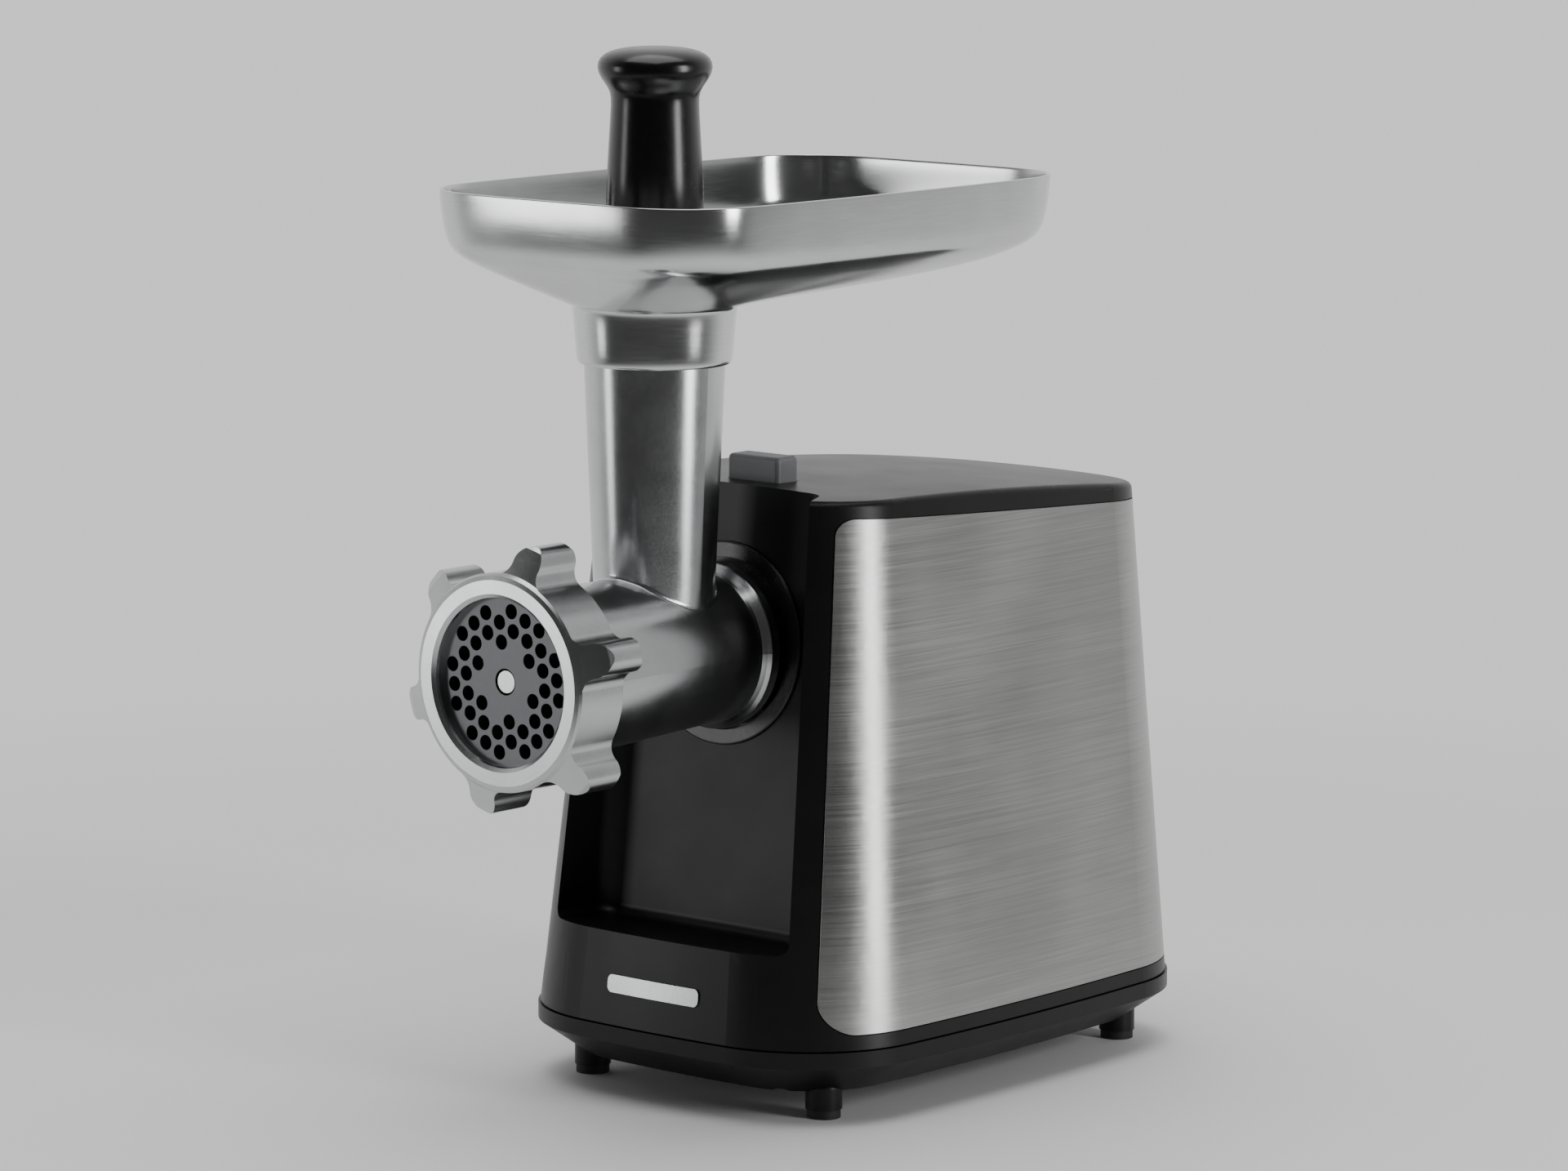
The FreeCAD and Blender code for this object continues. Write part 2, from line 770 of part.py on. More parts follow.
def make_head():
    profile = [(chamber_r, mouth_y), (thread_r - 0.6, mouth_y)]
    y = mouth_y + 1.5
    while y < thread_back_y - thread_pitch:
        profile += [(thread_r, y), (thread_r, y + 1.2), (thread_r - thread_deep, y + 1.6),
                    (thread_r - thread_deep, y + 2.6)]
        y += thread_pitch
    profile += [(thread_r, y), (thread_r, thread_back_y + 0.5), (thread_r - 1.2, thread_back_y + 2),
                (barrel_front_r + 0.8, thread_back_y + 3.4), (barrel_front_r, thread_back_y + 5.5),
                (barrel_rear_r, flange_y - 4.5), (barrel_rear_r + 0.4, flange_y - 3.2),
                (barrel_rear_r + 1.4, flange_y - 1.8), (flange_r - 0.2, flange_y - 0.6), (flange_r, flange_y),
                (flange_r, flange_y + 3), (hub_r, flange_y + 4.5), (hub_r, hub_end_y), (hub_bore_r, hub_end_y)]
    body = turn_about_y(profile)
    tube = cone_z(tube_r(axis_z), tube_top_r, axis_z, tube_top_z, tube_y)
    solid = body.fuse(rod_y(hub_bore_r + 1, mouth_y, hub_end_y)).fuse(tube)
    reach = tube_top_r + 1
    saddle = [e for e in solid.Edges
              if axis_z + 8 < e.BoundBox.ZMin and e.BoundBox.ZMax < axis_z + barrel_front_r + 3
              and tube_y - reach < e.BoundBox.YMin and e.BoundBox.YMax < tube_y + reach]
    solid = solid.makeFillet(saddle_r, saddle)
    solid = solid.fuse(lug_band(lug_r, lug_y, lug_y + lug_t, lug_half_h))
    bore = turn_about_y([(0, mouth_y - 1), (plate_r + plate_clear, mouth_y - 1),
                         (plate_r + plate_clear, plate_back_y), (chamber_r, plate_back_y),
                         (chamber_r, chamber_back_y), (barrel_bore_r, chamber_back_y + 4),
                         (barrel_bore_r, throat_back_y), (hub_bore_r, throat_back_y),
                         (hub_bore_r, hub_end_y + 1), (0, hub_end_y + 1)])
    inner_low = tube_r(axis_z) - tube_wall
    bore = bore.fuse(cone_z(inner_low, tube_top_r - tube_wall, axis_z, tube_top_z + 0.01, tube_y))
    solid = solid.cut(bore)
    slot_r = hub_r - latch_depth - button_travel - latch_clear
    wide = pin_r + latch_clear
    slot = ring_y(hub_r + 3, slot_r, button_y - wide, button_y + wide)
    fan = [V(0, button_y - wide, axis_z)]
    for k in range(4):
        x, z = polar(2 * hub_r, 90 + head_twist_deg * k / 3)
        fan.append(V(x, button_y - wide, axis_z + z))
    slot = slot.common(prism(Part.makePolygon(fan + [fan[0]]), V(0, 2 * wide, 0)))
    for deg in (0, -head_twist_deg):
        slot = slot.fuse(turned(rod_z(wide, axis_z + slot_r, axis_z + hub_r + 3, 0, button_y), deg))
    solid = solid.cut(slot)
    return solid.cut(rod_y(key_r, plate_front_y - 1, plate_back_y + 4, 0, key_low_z))


save("head_casting", make_head())
save("plate_key", rod_y(key_r, plate_front_y, plate_back_y + 4, 0, key_low_z))


def make_plate():
    plate = rod_y(plate_r, plate_front_y, plate_back_y)
    holes = [rod_y(plate_bore_r, plate_front_y - 1, plate_back_y + 1),
             rod_y(key_r + plate_clear, plate_front_y - 1, plate_back_y + 1, 0, key_low_z)]
    for a in range(-4, 5):
        for b in range(-4, 5):
            x, z = plate_pitch * (a + b / 2), plate_pitch * b * math.sqrt(3) / 2
            if plate_pitch * 1.8 < math.hypot(x, z) < plate_pitch * 3.7:
                turn = math.radians(90 + plate_turn_deg)
                hx = x * math.cos(turn) - z * math.sin(turn)
                hz = x * math.sin(turn) + z * math.cos(turn)
                holes.append(rod_y(plate_hole_r, plate_front_y - 1, plate_back_y + 1, hx, axis_z + hz))
    edges = [e for e in plate.Edges if e.BoundBox.YLength < 0.1]
    return plate.makeChamfer(0.4, edges).cut(Part.makeCompound(holes))


save("hole_plate", make_plate())


def outline_xz(points_edges, y):
    """Wire drawn in the XY plane about the origin, stood up about the barrel axis at y."""
    wire = points_edges.copy()
    wire.rotate(V(0, 0, 0), X_AXIS, 90)
    wire.translate(V(0, y, axis_z))
    return wire


def nut_outline():
    edges = []
    step = 360.0 / lobe_count
    ends = []
    for i in range(lobe_count):
        lobe_deg = 90 - lobe_phase_deg - i * step
        cx, cy = polar(lobe_tip_r - lobe_end_r, lobe_deg)
        lobe = V(cx, cy, 0)
        roots = [circles_meet(V(0, 0, 0), nut_r + lobe_root_r, lobe, lobe_end_r + lobe_root_r, sign)
                 for sign in (1, -1)]
        tip = V(*polar(lobe_tip_r, lobe_deg), 0)
        touch = [root + (lobe - root).normalize() * lobe_root_r for root in roots]
        base = [V(root).normalize() * nut_r for root in roots]
        waist = [root + ((t - root) + (b - root)).normalize() * lobe_root_r
                 for root, t, b in zip(roots, touch, base)]
        edges += [arc(base[0], waist[0], touch[0]), arc(touch[0], tip, touch[1]),
                  arc(touch[1], waist[1], base[1])]
        ends.append((base[0], base[1], lobe_deg))
    for i, (_, leave, lobe_deg) in enumerate(ends):
        meet = ends[(i + 1) % lobe_count][0]
        edges.append(arc(leave, V(*polar(nut_r, lobe_deg - step / 2), 0), meet))
    return Part.Wire(Part.__sortEdges__(edges))


def make_nut():
    nut = prism(outline_xz(nut_outline(), nut_front_y), V(0, nut_depth, 0))
    back = nut_front_y + nut_depth
    envelope = turn_about_y([(0, nut_front_y), (nut_r - 2.2, nut_front_y), (nut_r - 0.7, nut_front_y + 0.5),
                             (nut_r + 0.3, nut_front_y + 1.6), (lobe_tip_r - 3.2, nut_front_y + 4.2),
                             (lobe_tip_r - 0.9, nut_front_y + 5.6), (lobe_tip_r + 0.1, nut_front_y + 7.4),
                             (lobe_tip_r + 0.1, back - 1.2), (lobe_tip_r - 1.2, back), (0, back)])
    nut = nut.common(envelope)
    opening = turn_about_y([(0, nut_front_y - 1), (nut_opening_r + 2.5, nut_front_y - 1),
                            (nut_opening_r + 1.6, nut_front_y), (nut_opening_r + 0.3, nut_front_y + 1.1),
                            (nut_opening_r, nut_front_y + 2), (nut_opening_r, plate_front_y),
                            (thread_r + thread_clear, plate_front_y), (thread_r + thread_clear, back - 0.8),
                            (thread_r + 1, back), (thread_r + 1, back + 1), (0, back + 1)])
    return nut.cut(opening)


save("ring_nut", make_nut())

# ---------------------------------------------------------------- gears
gear_plane_0 = -38.0
gear_face_3 = 12.0
gear_plane_1 = -24.0
gear_face_2 = 8.0
gear_plane_2 = -14.0
gear_face_1 = 6.0


def involute(angle):
    return math.tan(angle) - angle


def gear(teeth, module, y0, y1, x, z, phase_deg):
    """Spur gear along Y with the middle of a tooth at phase_deg, from +X towards +Z."""
    pitch_r = teeth * module / 2
    base_r = pitch_r * math.cos(math.radians(pressure_deg))
    tip_r = pitch_r + addendum * module
    root_r = pitch_r - dedendum * module
    half = (math.pi * module - backlash) / (4 * pitch_r) + involute(math.radians(pressure_deg))
    start_r = max(base_r, root_r)

    def at(r, side, middle):
        turn = middle + side * (half - involute(math.acos(min(1.0, base_r / r))))
        return V(r * math.cos(turn), r * math.sin(turn), 0)

    edges = []
    step = 2 * math.pi / teeth
    for i in range(teeth):
        middle = math.radians(phase_deg) + i * step
        flanks = {}
        for side in (-1, 1):
            points = [at(lerp(start_r, tip_r, (k / 4) ** 1.5), side, middle) for k in range(5)]
            curve = Part.BSplineCurve()
            curve.interpolate(points)
            edges.append(curve.toShape())
            flanks[side] = points
            if root_r < start_r:
                foot = V(points[0]).normalize() * root_r
                edges.append(line(foot, points[0]))
                flanks[side] = [foot] + points
        tip_mid = V(tip_r * math.cos(middle), tip_r * math.sin(middle), 0)
        edges.append(arc(flanks[-1][-1], tip_mid, flanks[1][-1]))
        next_turn = middle + step
        gap_mid = V(root_r * math.cos(middle + step / 2), root_r * math.sin(middle + step / 2), 0)
        low = flanks[1][0]
        spin = next_turn - middle
        next_low = flanks[-1][0]
        next_low = V(next_low.x * math.cos(spin) - next_low.y * math.sin(spin),
                     next_low.x * math.sin(spin) + next_low.y * math.cos(spin), 0)
        edges.append(arc(low, gap_mid, next_low))
    wire = Part.Wire(Part.__sortEdges__(edges))
    wire.rotate(V(0, 0, 0), X_AXIS, 90)
    wire.translate(V(x, y0, z))
    return prism(wire, V(0, y1 - y0, 0))


def step_from(point, reach, deg):
    dx, dz = polar(reach, deg)
    return point[0] + dx, point[1] + dz


out_at = (0.0, axis_z)
second_at = step_from(out_at, module_3 * (output_teeth + second_pinion_teeth) / 2, second_gear_dir_deg)
first_at = step_from(second_at, module_2 * (second_wheel_teeth + first_pinion_teeth) / 2, first_gear_dir_deg)
motor_at = step_from(first_at, module_1 * (first_wheel_teeth + motor_teeth) / 2, motor_dir_deg)

gear_end_3 = gear_plane_0 + gear_face_3
gear_end_2 = gear_plane_1 + gear_face_2
gear_end_1 = gear_plane_2 + gear_face_1
case_front_y = cup_back_y
case_split_y = -22.0
case_back_y = -2.0
case_wall = 3.0


def lightened(wheel, y0, y1, at, r_in, r_out, web):
    """Thin the web of a wheel from both faces."""
    mid = (y0 + y1) / 2
    for a, b in ((y0 - 1, mid - web / 2), (mid + web / 2, y1 + 1)):
        wheel = wheel.cut(ring_y(r_out, r_in, a, b, *at))
    return wheel


output_gear = gear(output_teeth, module_3, gear_plane_0, gear_end_3, *out_at, second_gear_dir_deg)
output_gear = lightened(output_gear, gear_plane_0, gear_end_3, out_at, 12, 26.5, 5)
save("output_gear", output_gear.cut(rod_y(shaft_r, gear_plane_0 - 1, gear_end_3 + 1)))

pinion_2 = gear(second_pinion_teeth, module_3, gear_plane_0, gear_plane_1 + 0.5, *second_at,
                second_gear_dir_deg + 180 + 180 / second_pinion_teeth)
wheel_2 = gear(second_wheel_teeth, module_2, gear_plane_1, gear_end_2, *second_at, first_gear_dir_deg)
wheel_2 = lightened(wheel_2, gear_plane_1, gear_end_2, second_at, 10, 21, 3.5)
gear_2 = pinion_2.fuse(wheel_2)
save("gear_2", gear_2.cut(rod_y(gear_pin_r + running_clear, gear_plane_0 - 1, gear_end_2 + 1, *second_at)))

pinion_1 = gear(first_pinion_teeth, module_2, gear_plane_1, gear_plane_2 + 0.5, *first_at,
                first_gear_dir_deg + 180 + 180 / first_pinion_teeth)
wheel_1 = gear(first_wheel_teeth, module_1, gear_plane_2, gear_end_1, *first_at, motor_dir_deg)
wheel_1 = lightened(wheel_1, gear_plane_2, gear_end_1, first_at, 7.5, 20.5, 3)
gear_1 = pinion_1.fuse(wheel_1)
save("gear_1", gear_1.cut(rod_y(gear_pin_r + running_clear, gear_plane_1 - 1, gear_end_1 + 1, *first_at)))

save("gear_pins", rod_y(gear_pin_r, case_front_y + 1, case_back_y - 1, *second_at),
     rod_y(gear_pin_r, case_front_y + 1, case_back_y - 1, *first_at))

# ---------------------------------------------------------------- gear case
ear_r = 5.0
ears = [step_from(out_at, 38, 55), step_from(out_at, 38, 125), step_from(second_at, 33, 0),
        step_from(first_at, 31, 165)]
case_rooms = ((out_at, module_3 * output_teeth / 2 + 3), (second_at, module_2 * second_wheel_teeth / 2 + 3),
              (first_at, module_1 * first_wheel_teeth / 2 + 3), (motor_at, module_1 * motor_teeth / 2 + 3.5))


def case_part(y0, y1, face_y, floor_0, floor_1):
    """Half of the gear case: rim between y0 and y1, floor between floor_0 and floor_1."""
    solid = fuse([rod_y(r + case_wall, y0, y1, *at) for at, r in case_rooms]
                 + [rod_y(ear_r, y0, y1, *ear) for ear in ears])
    room = fuse([rod_y(r, face_y, y1 if floor_0 == y0 else floor_0, *at) for at, r in case_rooms])
    for ear in ears:
        room = room.cut(rod_y(ear_r, y0 - 1, y1 + 1, *ear))
        solid = solid.cut(rod_y(screw_r + screw_clear, y0 - 1, y1 + 1, *ear))
    solid = solid.cut(room)
    for at in (second_at, first_at):
        boss_y = (floor_1, gear_plane_0 - 0.3) if floor_0 == y0 else (gear_end_1 + 0.3, floor_0)
        if floor_0 == y0 and at is first_at:
            boss_y = (floor_1, gear_plane_1 - 0.3)
        if floor_0 != y0 and at is second_at:
            boss_y = (gear_end_2 + 0.3, floor_0)
        solid = solid.fuse(rod_y(gear_pin_r + 2, *boss_y, *at))
        solid = solid.cut(rod_y(gear_pin_r, case_front_y + 1, case_back_y - 1, *at))
    return solid


case_front = case_part(case_front_y, case_split_y, case_front_y + case_wall, case_front_y,
                       case_front_y + case_wall)
save("gear_case_front", case_front.cut(rod_y(bush_r, case_front_y - 1, case_front_y + 5)))
case_rear = case_part(case_split_y, case_back_y, case_split_y, case_back_y - case_wall, case_back_y)
case_rear = case_rear.cut(rod_y(shaft_r + running_clear, case_back_y - case_wall, case_back_y - 1))
save("gear_case_rear", case_rear.cut(rod_y(rotor_shaft_r + 3, case_back_y - 5, case_back_y + 1, *motor_at)))
save("gear_case_screws", *[screw_in(ear[0], case_back_y, ear[1], 36) for ear in ears])
save("output_bush", ring_y(bush_r, shaft_r + running_clear, cup_back_y - cup_back_t, gear_plane_0 - 0.3))
save("shaft_seal", ring_y(12, shaft_r + 0.1, cup_back_y - cup_back_t - 2, cup_back_y - cup_back_t))

# ---------------------------------------------------------------- output shaft, auger and knife
tail_flats = 9.0
shaft_front_y = -58.0
nose_square = 8.0
nose_r = 4.32
nose_tip_r = 3.65
core_rear_r = 9.5
core_front_r = 8.0
flight_pitch = 29.0
flight_t = 4.0
flight_front_y = chamber_back_y + 1.0
spoke_count = 4


def many_sided(flats, sides, y0, y1):
    """Bar along the barrel axis with the given number of sides and distance across them."""
    corner_r = flats / 2 / math.cos(math.pi / sides)
    points = []
    for k in range(sides):
        x, z = polar(corner_r, 360.0 * k / sides + 180.0 / sides)
        points.append(V(x, y0, axis_z + z))
    return prism(Part.makePolygon(points + [points[0]]), V(0, y1 - y0, 0))


def make_shaft():
    shaft = rod_y(shaft_r, shaft_front_y, case_back_y - 1.2)
    return shaft.cut(many_sided(tail_flats + 2 * running_clear, 6, shaft_front_y - 1, shaft_front_y + 10))


def make_auger():
    core = turn_about_y([(0, plate_front_y + 0.4), (nose_tip_r, plate_front_y + 0.4),
                         (nose_r, plate_front_y + 1.6), (nose_r, plate_back_y + 0.1),
                         (core_front_r - 3, plate_back_y + 0.1), (core_front_r - 3, knife_front_y + knife_t),
                         (core_front_r, knife_front_y + knife_t), (core_rear_r, washer_y),
                         (hub_bore_r - running_clear, washer_y), (hub_bore_r - running_clear, shaft_front_y - 0.3),
                         (tail_flats / 2 - 0.2, shaft_front_y - 0.3), (tail_flats / 2 - 0.2, shaft_front_y + 2),
                         (0, shaft_front_y + 2)])
    square = many_sided(nose_square, 4, plate_back_y + 0.1, knife_front_y + knife_t)
    core = core.cut(ring_y(core_front_r, 0.01, plate_back_y + 0.1, knife_front_y + knife_t))
    core = fuse([core, square, many_sided(tail_flats, 6, shaft_front_y - 0.3, shaft_front_y + 9.5)])
    length = washer_y - 0.5 - flight_front_y
    path = Part.makeHelix(flight_pitch, length - flight_t, flight_r)
    low = core_front_r - 2.5
    half = flight_t / 2
    section = Part.makePolygon([V(low, 0, -half * 1.3), V(flight_r, 0, -half * 0.6), V(flight_r, 0, half * 0.6),
                                V(low, 0, half * 1.3), V(low, 0, -half * 1.3)])
    flight = Part.Wire(path.Edges).makePipeShell([section], True, True)
    flight.rotate(V(0, 0, 0), X_AXIS, -90)
    flight.translate(V(0, flight_front_y + half, axis_z))
    flight = flight.common(rod_y(flight_r + 1, flight_front_y, washer_y - 0.5))
    return core.fuse(flight)


def make_knife():
    back = knife_front_y + knife_t
    blank = rod_y(knife_r, knife_front_y, back)
    pieces = [rod_y(10, knife_front_y, back)]
    for k in range(spoke_count):
        bar = block(0, knife_r, knife_front_y, back, axis_z - 5, axis_z + 1.5)
        bar = bar.cut(Part.makeBox(2 * knife_r, knife_t, 8, V(0, knife_front_y + 2, axis_z - 9.5)))
        pieces.append(turned(bar, 360.0 * k / spoke_count + 20))
    knife = fuse(pieces).common(blank)
    return knife.cut(many_sided(nose_square + 2 * running_clear, 4, knife_front_y - 1, back + 1))


save("output_shaft", make_shaft())
save("auger", make_auger())
save("knife", make_knife())
save("thrust_washer", ring_y(washer_r, core_rear_r, washer_y, throat_back_y - 0.2))

# ---------------------------------------------------------------- motor
mx, mz = motor_at
stack_end_y = stack_front_y + stack_len
end_turn = 6.0
post_at = stator_half - 5.0
bracket_rear_y = stack_end_y + 22.0
bracket_t = 4.0
bearing_r = 8.0
commutator_r = 9.0
commutator_y = stack_end_y + 8.0
commutator_len = 12.0
brush_y = commutator_y + commutator_len / 2
fan_r = 24.0


def motor_rod(r, y0, y1):
    return rod_y(r, y0, y1, mx, mz)


def motor_block(x0, x1, y0, y1, z0, z1):
    return block(mx + x0, mx + x1, y0, y1, mz + z0, mz + z1)


def make_stator():
    half = stator_half
    stack = motor_block(-half, half, stack_front_y, stack_end_y, -half, half)
    upright = [e for e in stack.Edges if e.BoundBox.YLength > 1]
    stack = stack.makeFillet(5, upright).cut(motor_rod(stator_bore_r, stack_front_y - 1, stack_end_y + 1))
    for side in (-1, 1):
        xs = sorted((side * 15, side * 25))
        stack = stack.cut(motor_block(*xs, stack_front_y - 1, stack_end_y + 1, -17, 17))
    return stack


def make_coil(side):
    zs = sorted((side * 5.5, side * 16))
    ring = motor_block(-24.5, 24.5, stack_front_y - end_turn, stack_end_y + end_turn, *zs)
    return ring.cut(motor_block(-21.5, 21.5, stack_front_y, stack_end_y, -17, 17))


def make_bracket(y0, post_0, post_1):
    plate = motor_block(-stator_half, stator_half, y0, y0 + bracket_t, -12, 12)
    other = motor_block(-12, 12, y0, y0 + bracket_t, -stator_half, stator_half)
    corner = [motor_block(-post_at - 4, post_at + 4, y0, y0 + bracket_t, -post_at - 4, -post_at + 4),
              motor_block(-post_at - 4, post_at + 4, y0, y0 + bracket_t, post_at - 4, post_at + 4)]
    legs = [rod_y(3, post_0, post_1, mx + sx * post_at, mz + sz * post_at) for sx in (-1, 1) for sz in (-1, 1)]
    return fuse([plate, other] + corner + legs).cut(motor_rod(bearing_r, y0 - 1, y0 + bracket_t + 1))


save("motor_stator", make_stator())
save("field_coils", make_coil(1), make_coil(-1))
save("motor_bracket_front", make_bracket(case_back_y, case_back_y + bracket_t, stack_front_y))
save("motor_bracket_rear", make_bracket(bracket_rear_y, stack_end_y, bracket_rear_y))
save("rotor_bearings", *[ring_y(bearing_r, rotor_shaft_r + running_clear, y, y + bracket_t, mx, mz)
                         for y in (case_back_y, bracket_rear_y)])

pinion = gear(motor_teeth, module_1, gear_plane_2, gear_end_1 + 0.5, mx, mz,
              motor_dir_deg + 180 + 180 / motor_teeth)
neck = motor_rod(3.3, gear_end_1, gear_end_1 + 2)
save("rotor_shaft", fuse([pinion, neck, motor_rod(rotor_shaft_r, gear_end_1 + 1.5, bracket_rear_y + 5)]))


def make_core():
    core = motor_rod(rotor_r, stack_front_y, stack_end_y).cut(motor_rod(rotor_shaft_r, 0, bracket_rear_y))
    slots = []
    for k in range(12):
        slot = motor_block(12, rotor_r + 1, stack_front_y - 1, stack_end_y + 1, -1.1, 1.1)
        slot.rotate(V(mx, 0, mz), Y_AXIS, 30 * k)
        slots.append(slot)
    return core.cut(Part.makeCompound(slots))


def make_fan():
    back = stack_front_y - end_turn - 3
    disc = motor_rod(fan_r, back - 1.5, back).fuse(motor_rod(7, back - 8, back))
    blades = []
    for k in range(9):
        blade = motor_block(6, fan_r - 1, back - 8, back - 1, -0.7, 0.7)
        blade.rotate(V(mx, 0, mz), Y_AXIS, 40 * k)
        blades.append(blade)
    return fuse([disc] + blades).cut(motor_rod(rotor_shaft_r, 0, stack_end_y))


save("rotor_core", make_core())
save("cooling_fan", make_fan())
save("commutator", ring_y(commutator_r, rotor_shaft_r, commutator_y, commutator_y + commutator_len, mx, mz))


def brush_pair(x0, x1, half):
    return [motor_block(*sorted((side * x0, side * x1)), brush_y - half, brush_y + half, -half, half)
            for side in (-1, 1)]


save("carbon_brushes", *brush_pair(commutator_r + running_clear, commutator_r + 9, 2.5))
holders = []
for outer_box, hollow in zip(brush_pair(commutator_r + 2, commutator_r + 17, 4), brush_pair(commutator_r, 24, 2.5)):
    stay = outer_box.BoundBox
    foot = block(stay.XMin, stay.XMax, stay.YMax - 0.5, bracket_rear_y, stay.ZMin, stay.ZMax)
    holders.append(outer_box.fuse(foot).cut(hollow))
save("brush_holders", *holders)

mount_half = 17.0
mount_len = 8.0
save("motor_mounts", *[block(mx - mount_half, mx + mount_half, y, y + mount_len, tray_floor_z + base_wall,
                             mz - stator_half) for y in (stack_front_y + 4, stack_end_y - 12)])

# ---------------------------------------------------------------- board, switch and cord inlet
board_z = mz + stator_half + 26.0
board_t = 1.6


def make_board():
    board = block(-28, 28, stack_front_y, stack_front_y + 52, board_z, board_z + board_t)
    top = board_z + board_t
    parts = [rod_z(6, top, top + 18, -16, stack_front_y + 12), rod_z(4, top, top + 12, -16, stack_front_y + 30),
             block(-4, 12, stack_front_y + 8, stack_front_y + 24, top, top + 14),
             block(4, 22, stack_front_y + 32, stack_front_y + 44, top, top + 9)]
    for y in (stack_front_y + 4, stack_end_y - 4):
        parts.append(rod_z(3, mz + stator_half, board_z, mx, y))
    return fuse([board] + parts)


save("circuit_board", make_board())

switch_deep = 20.0
pivot_in = 6.0
pivot_r = 1.5


def make_switch():
    flange = switch_box(1.4, 0.4, 1.4)
    flange = flange.makeFillet(1.2, [e for e in flange.Edges if e.BoundBox.YLength > 0.9])
    body = flange.fuse(switch_box(0, -switch_deep, 0.5))
    body = body.cut(switch_box(-switch_wall, -12, 5))
    body = body.cut(Part.makeCylinder(pivot_r + running_clear, 2 * rocker_w, V(-rocker_w, -pivot_in, 0), X_AXIS))
    tabs = [block(sx * 3 - 0.4, sx * 3 + 0.4, -switch_deep - 6, -switch_deep + 0.5, -3, 3) for sx in (-1, 1)]
    return on_rear(fuse([body] + tabs), switch_z)


def make_rocker():
    high = rocker_h / 2 - 1.3
    points = [V(0, 0.2, 0), V(0, 1.9, high - 0.6), V(0, 1.4, high), V(0, -3.5, high), V(0, -9, 3.5),
              V(0, -9, -3.5), V(0, -3.5, -high), V(0, 1.4, -high), V(0, 1.9, 0.6 - high)]
    half = rocker_w / 2 - 0.15
    face = Part.Face(Part.makePolygon(points + [points[0]]))
    rocker = face.extrude(V(2 * half, 0, 0))
    rocker.translate(V(-half, 0, 0))
    pivot = Part.makeCylinder(pivot_r, rocker_w + 1.6, V(-rocker_w / 2 - 0.8, -pivot_in, 0), X_AXIS)
    return on_rear(rocker.fuse(pivot), switch_z)


save("switch_body", make_switch())
save("rocker_switch", make_rocker())


def make_inlet():
    gland = turn_about_y([(3.2, -14), (inlet_r, -14), (inlet_r, 0), (inlet_r + 2.6, 0), (inlet_r + 2.6, 1),
                          (inlet_r + 1.6, 1.9), (4.2, 1.9), (3.2, 0.9)], 0, 0)
    return on_rear(gland.fuse(rod_y(inlet_r, -14, -10, 0, 0)), inlet_z)


save("cord_inlet", make_inlet())

# ---------------------------------------------------------------- tray and pusher
funnel_low_z = tube_top_z + 3.5
funnel_high_z = rim_z - tray_wall_h - tray_knee + 0.6
collar_low_z = funnel_low_z - collar_h
shells = ((rim_z, 0.0), (rim_z - 13.5, 1.3), (rim_z - tray_wall_h - 2.3, 2.6), (rim_z - tray_wall_h - 5.6, 5.3),
          (funnel_high_z, 9.8))


def tray_outline(z, inset):
    return oval_points(tray_half_w, tray_front, tray_rear, tray_corner_r, tray_side_bow_r, tray_end_bow_r, inset)


def tray_loft(move_in, low_r, low_z):
    """Form of the tray moved inwards by move_in, ending in a circle of low_r at low_z."""
    wires = []
    for z, inset in shells:
        lift = move_in if z == rim_z else move_in * inset / shells[-1][1]
        wires.append(arc_loop(tray_outline(z, inset + move_in), z + lift))
    round_points = []
    for p in tray_outline(0, shells[-1][1] + move_in):
        turn = math.atan2(p.y - tube_y, p.x)
        round_points.append(V(low_r * math.cos(turn), tube_y + low_r * math.sin(turn), 0))
    wires.append(arc_loop(round_points, low_z))
    return loft(*wires)


def make_tray():
    tray = tray_loft(0, collar_top_r + 1.0, funnel_low_z - 1)
    collar = cone_z(collar_low_r, collar_top_r, collar_low_z, funnel_low_z, tube_y)
    low_edge = [e for e in collar.Edges if e.BoundBox.ZMax < collar_low_z + 0.1]
    tray = tray.fuse(collar.makeFillet(1.0, low_edge))
    tray = tray.cut(tray_loft(tray_t, throat_r, funnel_low_z + 0.6))
    tray = tray.cut(rod_z(throat_r, tube_top_z, funnel_low_z + 10, 0, tube_y))
    return tray.cut(rod_z(tube_top_r + collar_clear, collar_low_z - 1, tube_top_z + seat_clear, 0, tube_y))


save("tray", make_tray())


def make_pusher():
    shape = [(0, 0), (8, -0.2), (14.5, -1.4), (knob_r - 0.9, -3.9), (knob_r, -6.6), (knob_r - 1.1, -9.8),
             (neck_r + 1.2, -12.8), (neck_r, -15.6), (neck_r + 0.1, -19), (neck_r + 0.7, -30),
             (neck_r + 1.4, -43), (stem_r, -56)]
    curve = Part.BSplineCurve()
    curve.interpolate([V(r, 0, pusher_top_z + z) for r, z in shape])
    low = pusher_low_z + pusher_foot_t
    cave_r = stem_r - pusher_wall
    corner = [V(stem_r, 0, pusher_top_z - 56), V(stem_r, 0, low), V(cave_r, 0, low),
              V(cave_r, 0, pusher_top_z - 56), V(neck_r - pusher_wall, 0, pusher_top_z - 30),
              V(0, 0, pusher_top_z - 26), V(0, 0, pusher_top_z)]
    edges = [curve.toShape()] + [line(corner[i], corner[i + 1]) for i in range(len(corner) - 1)]
    return turn_about_z(edges, 0, 0)


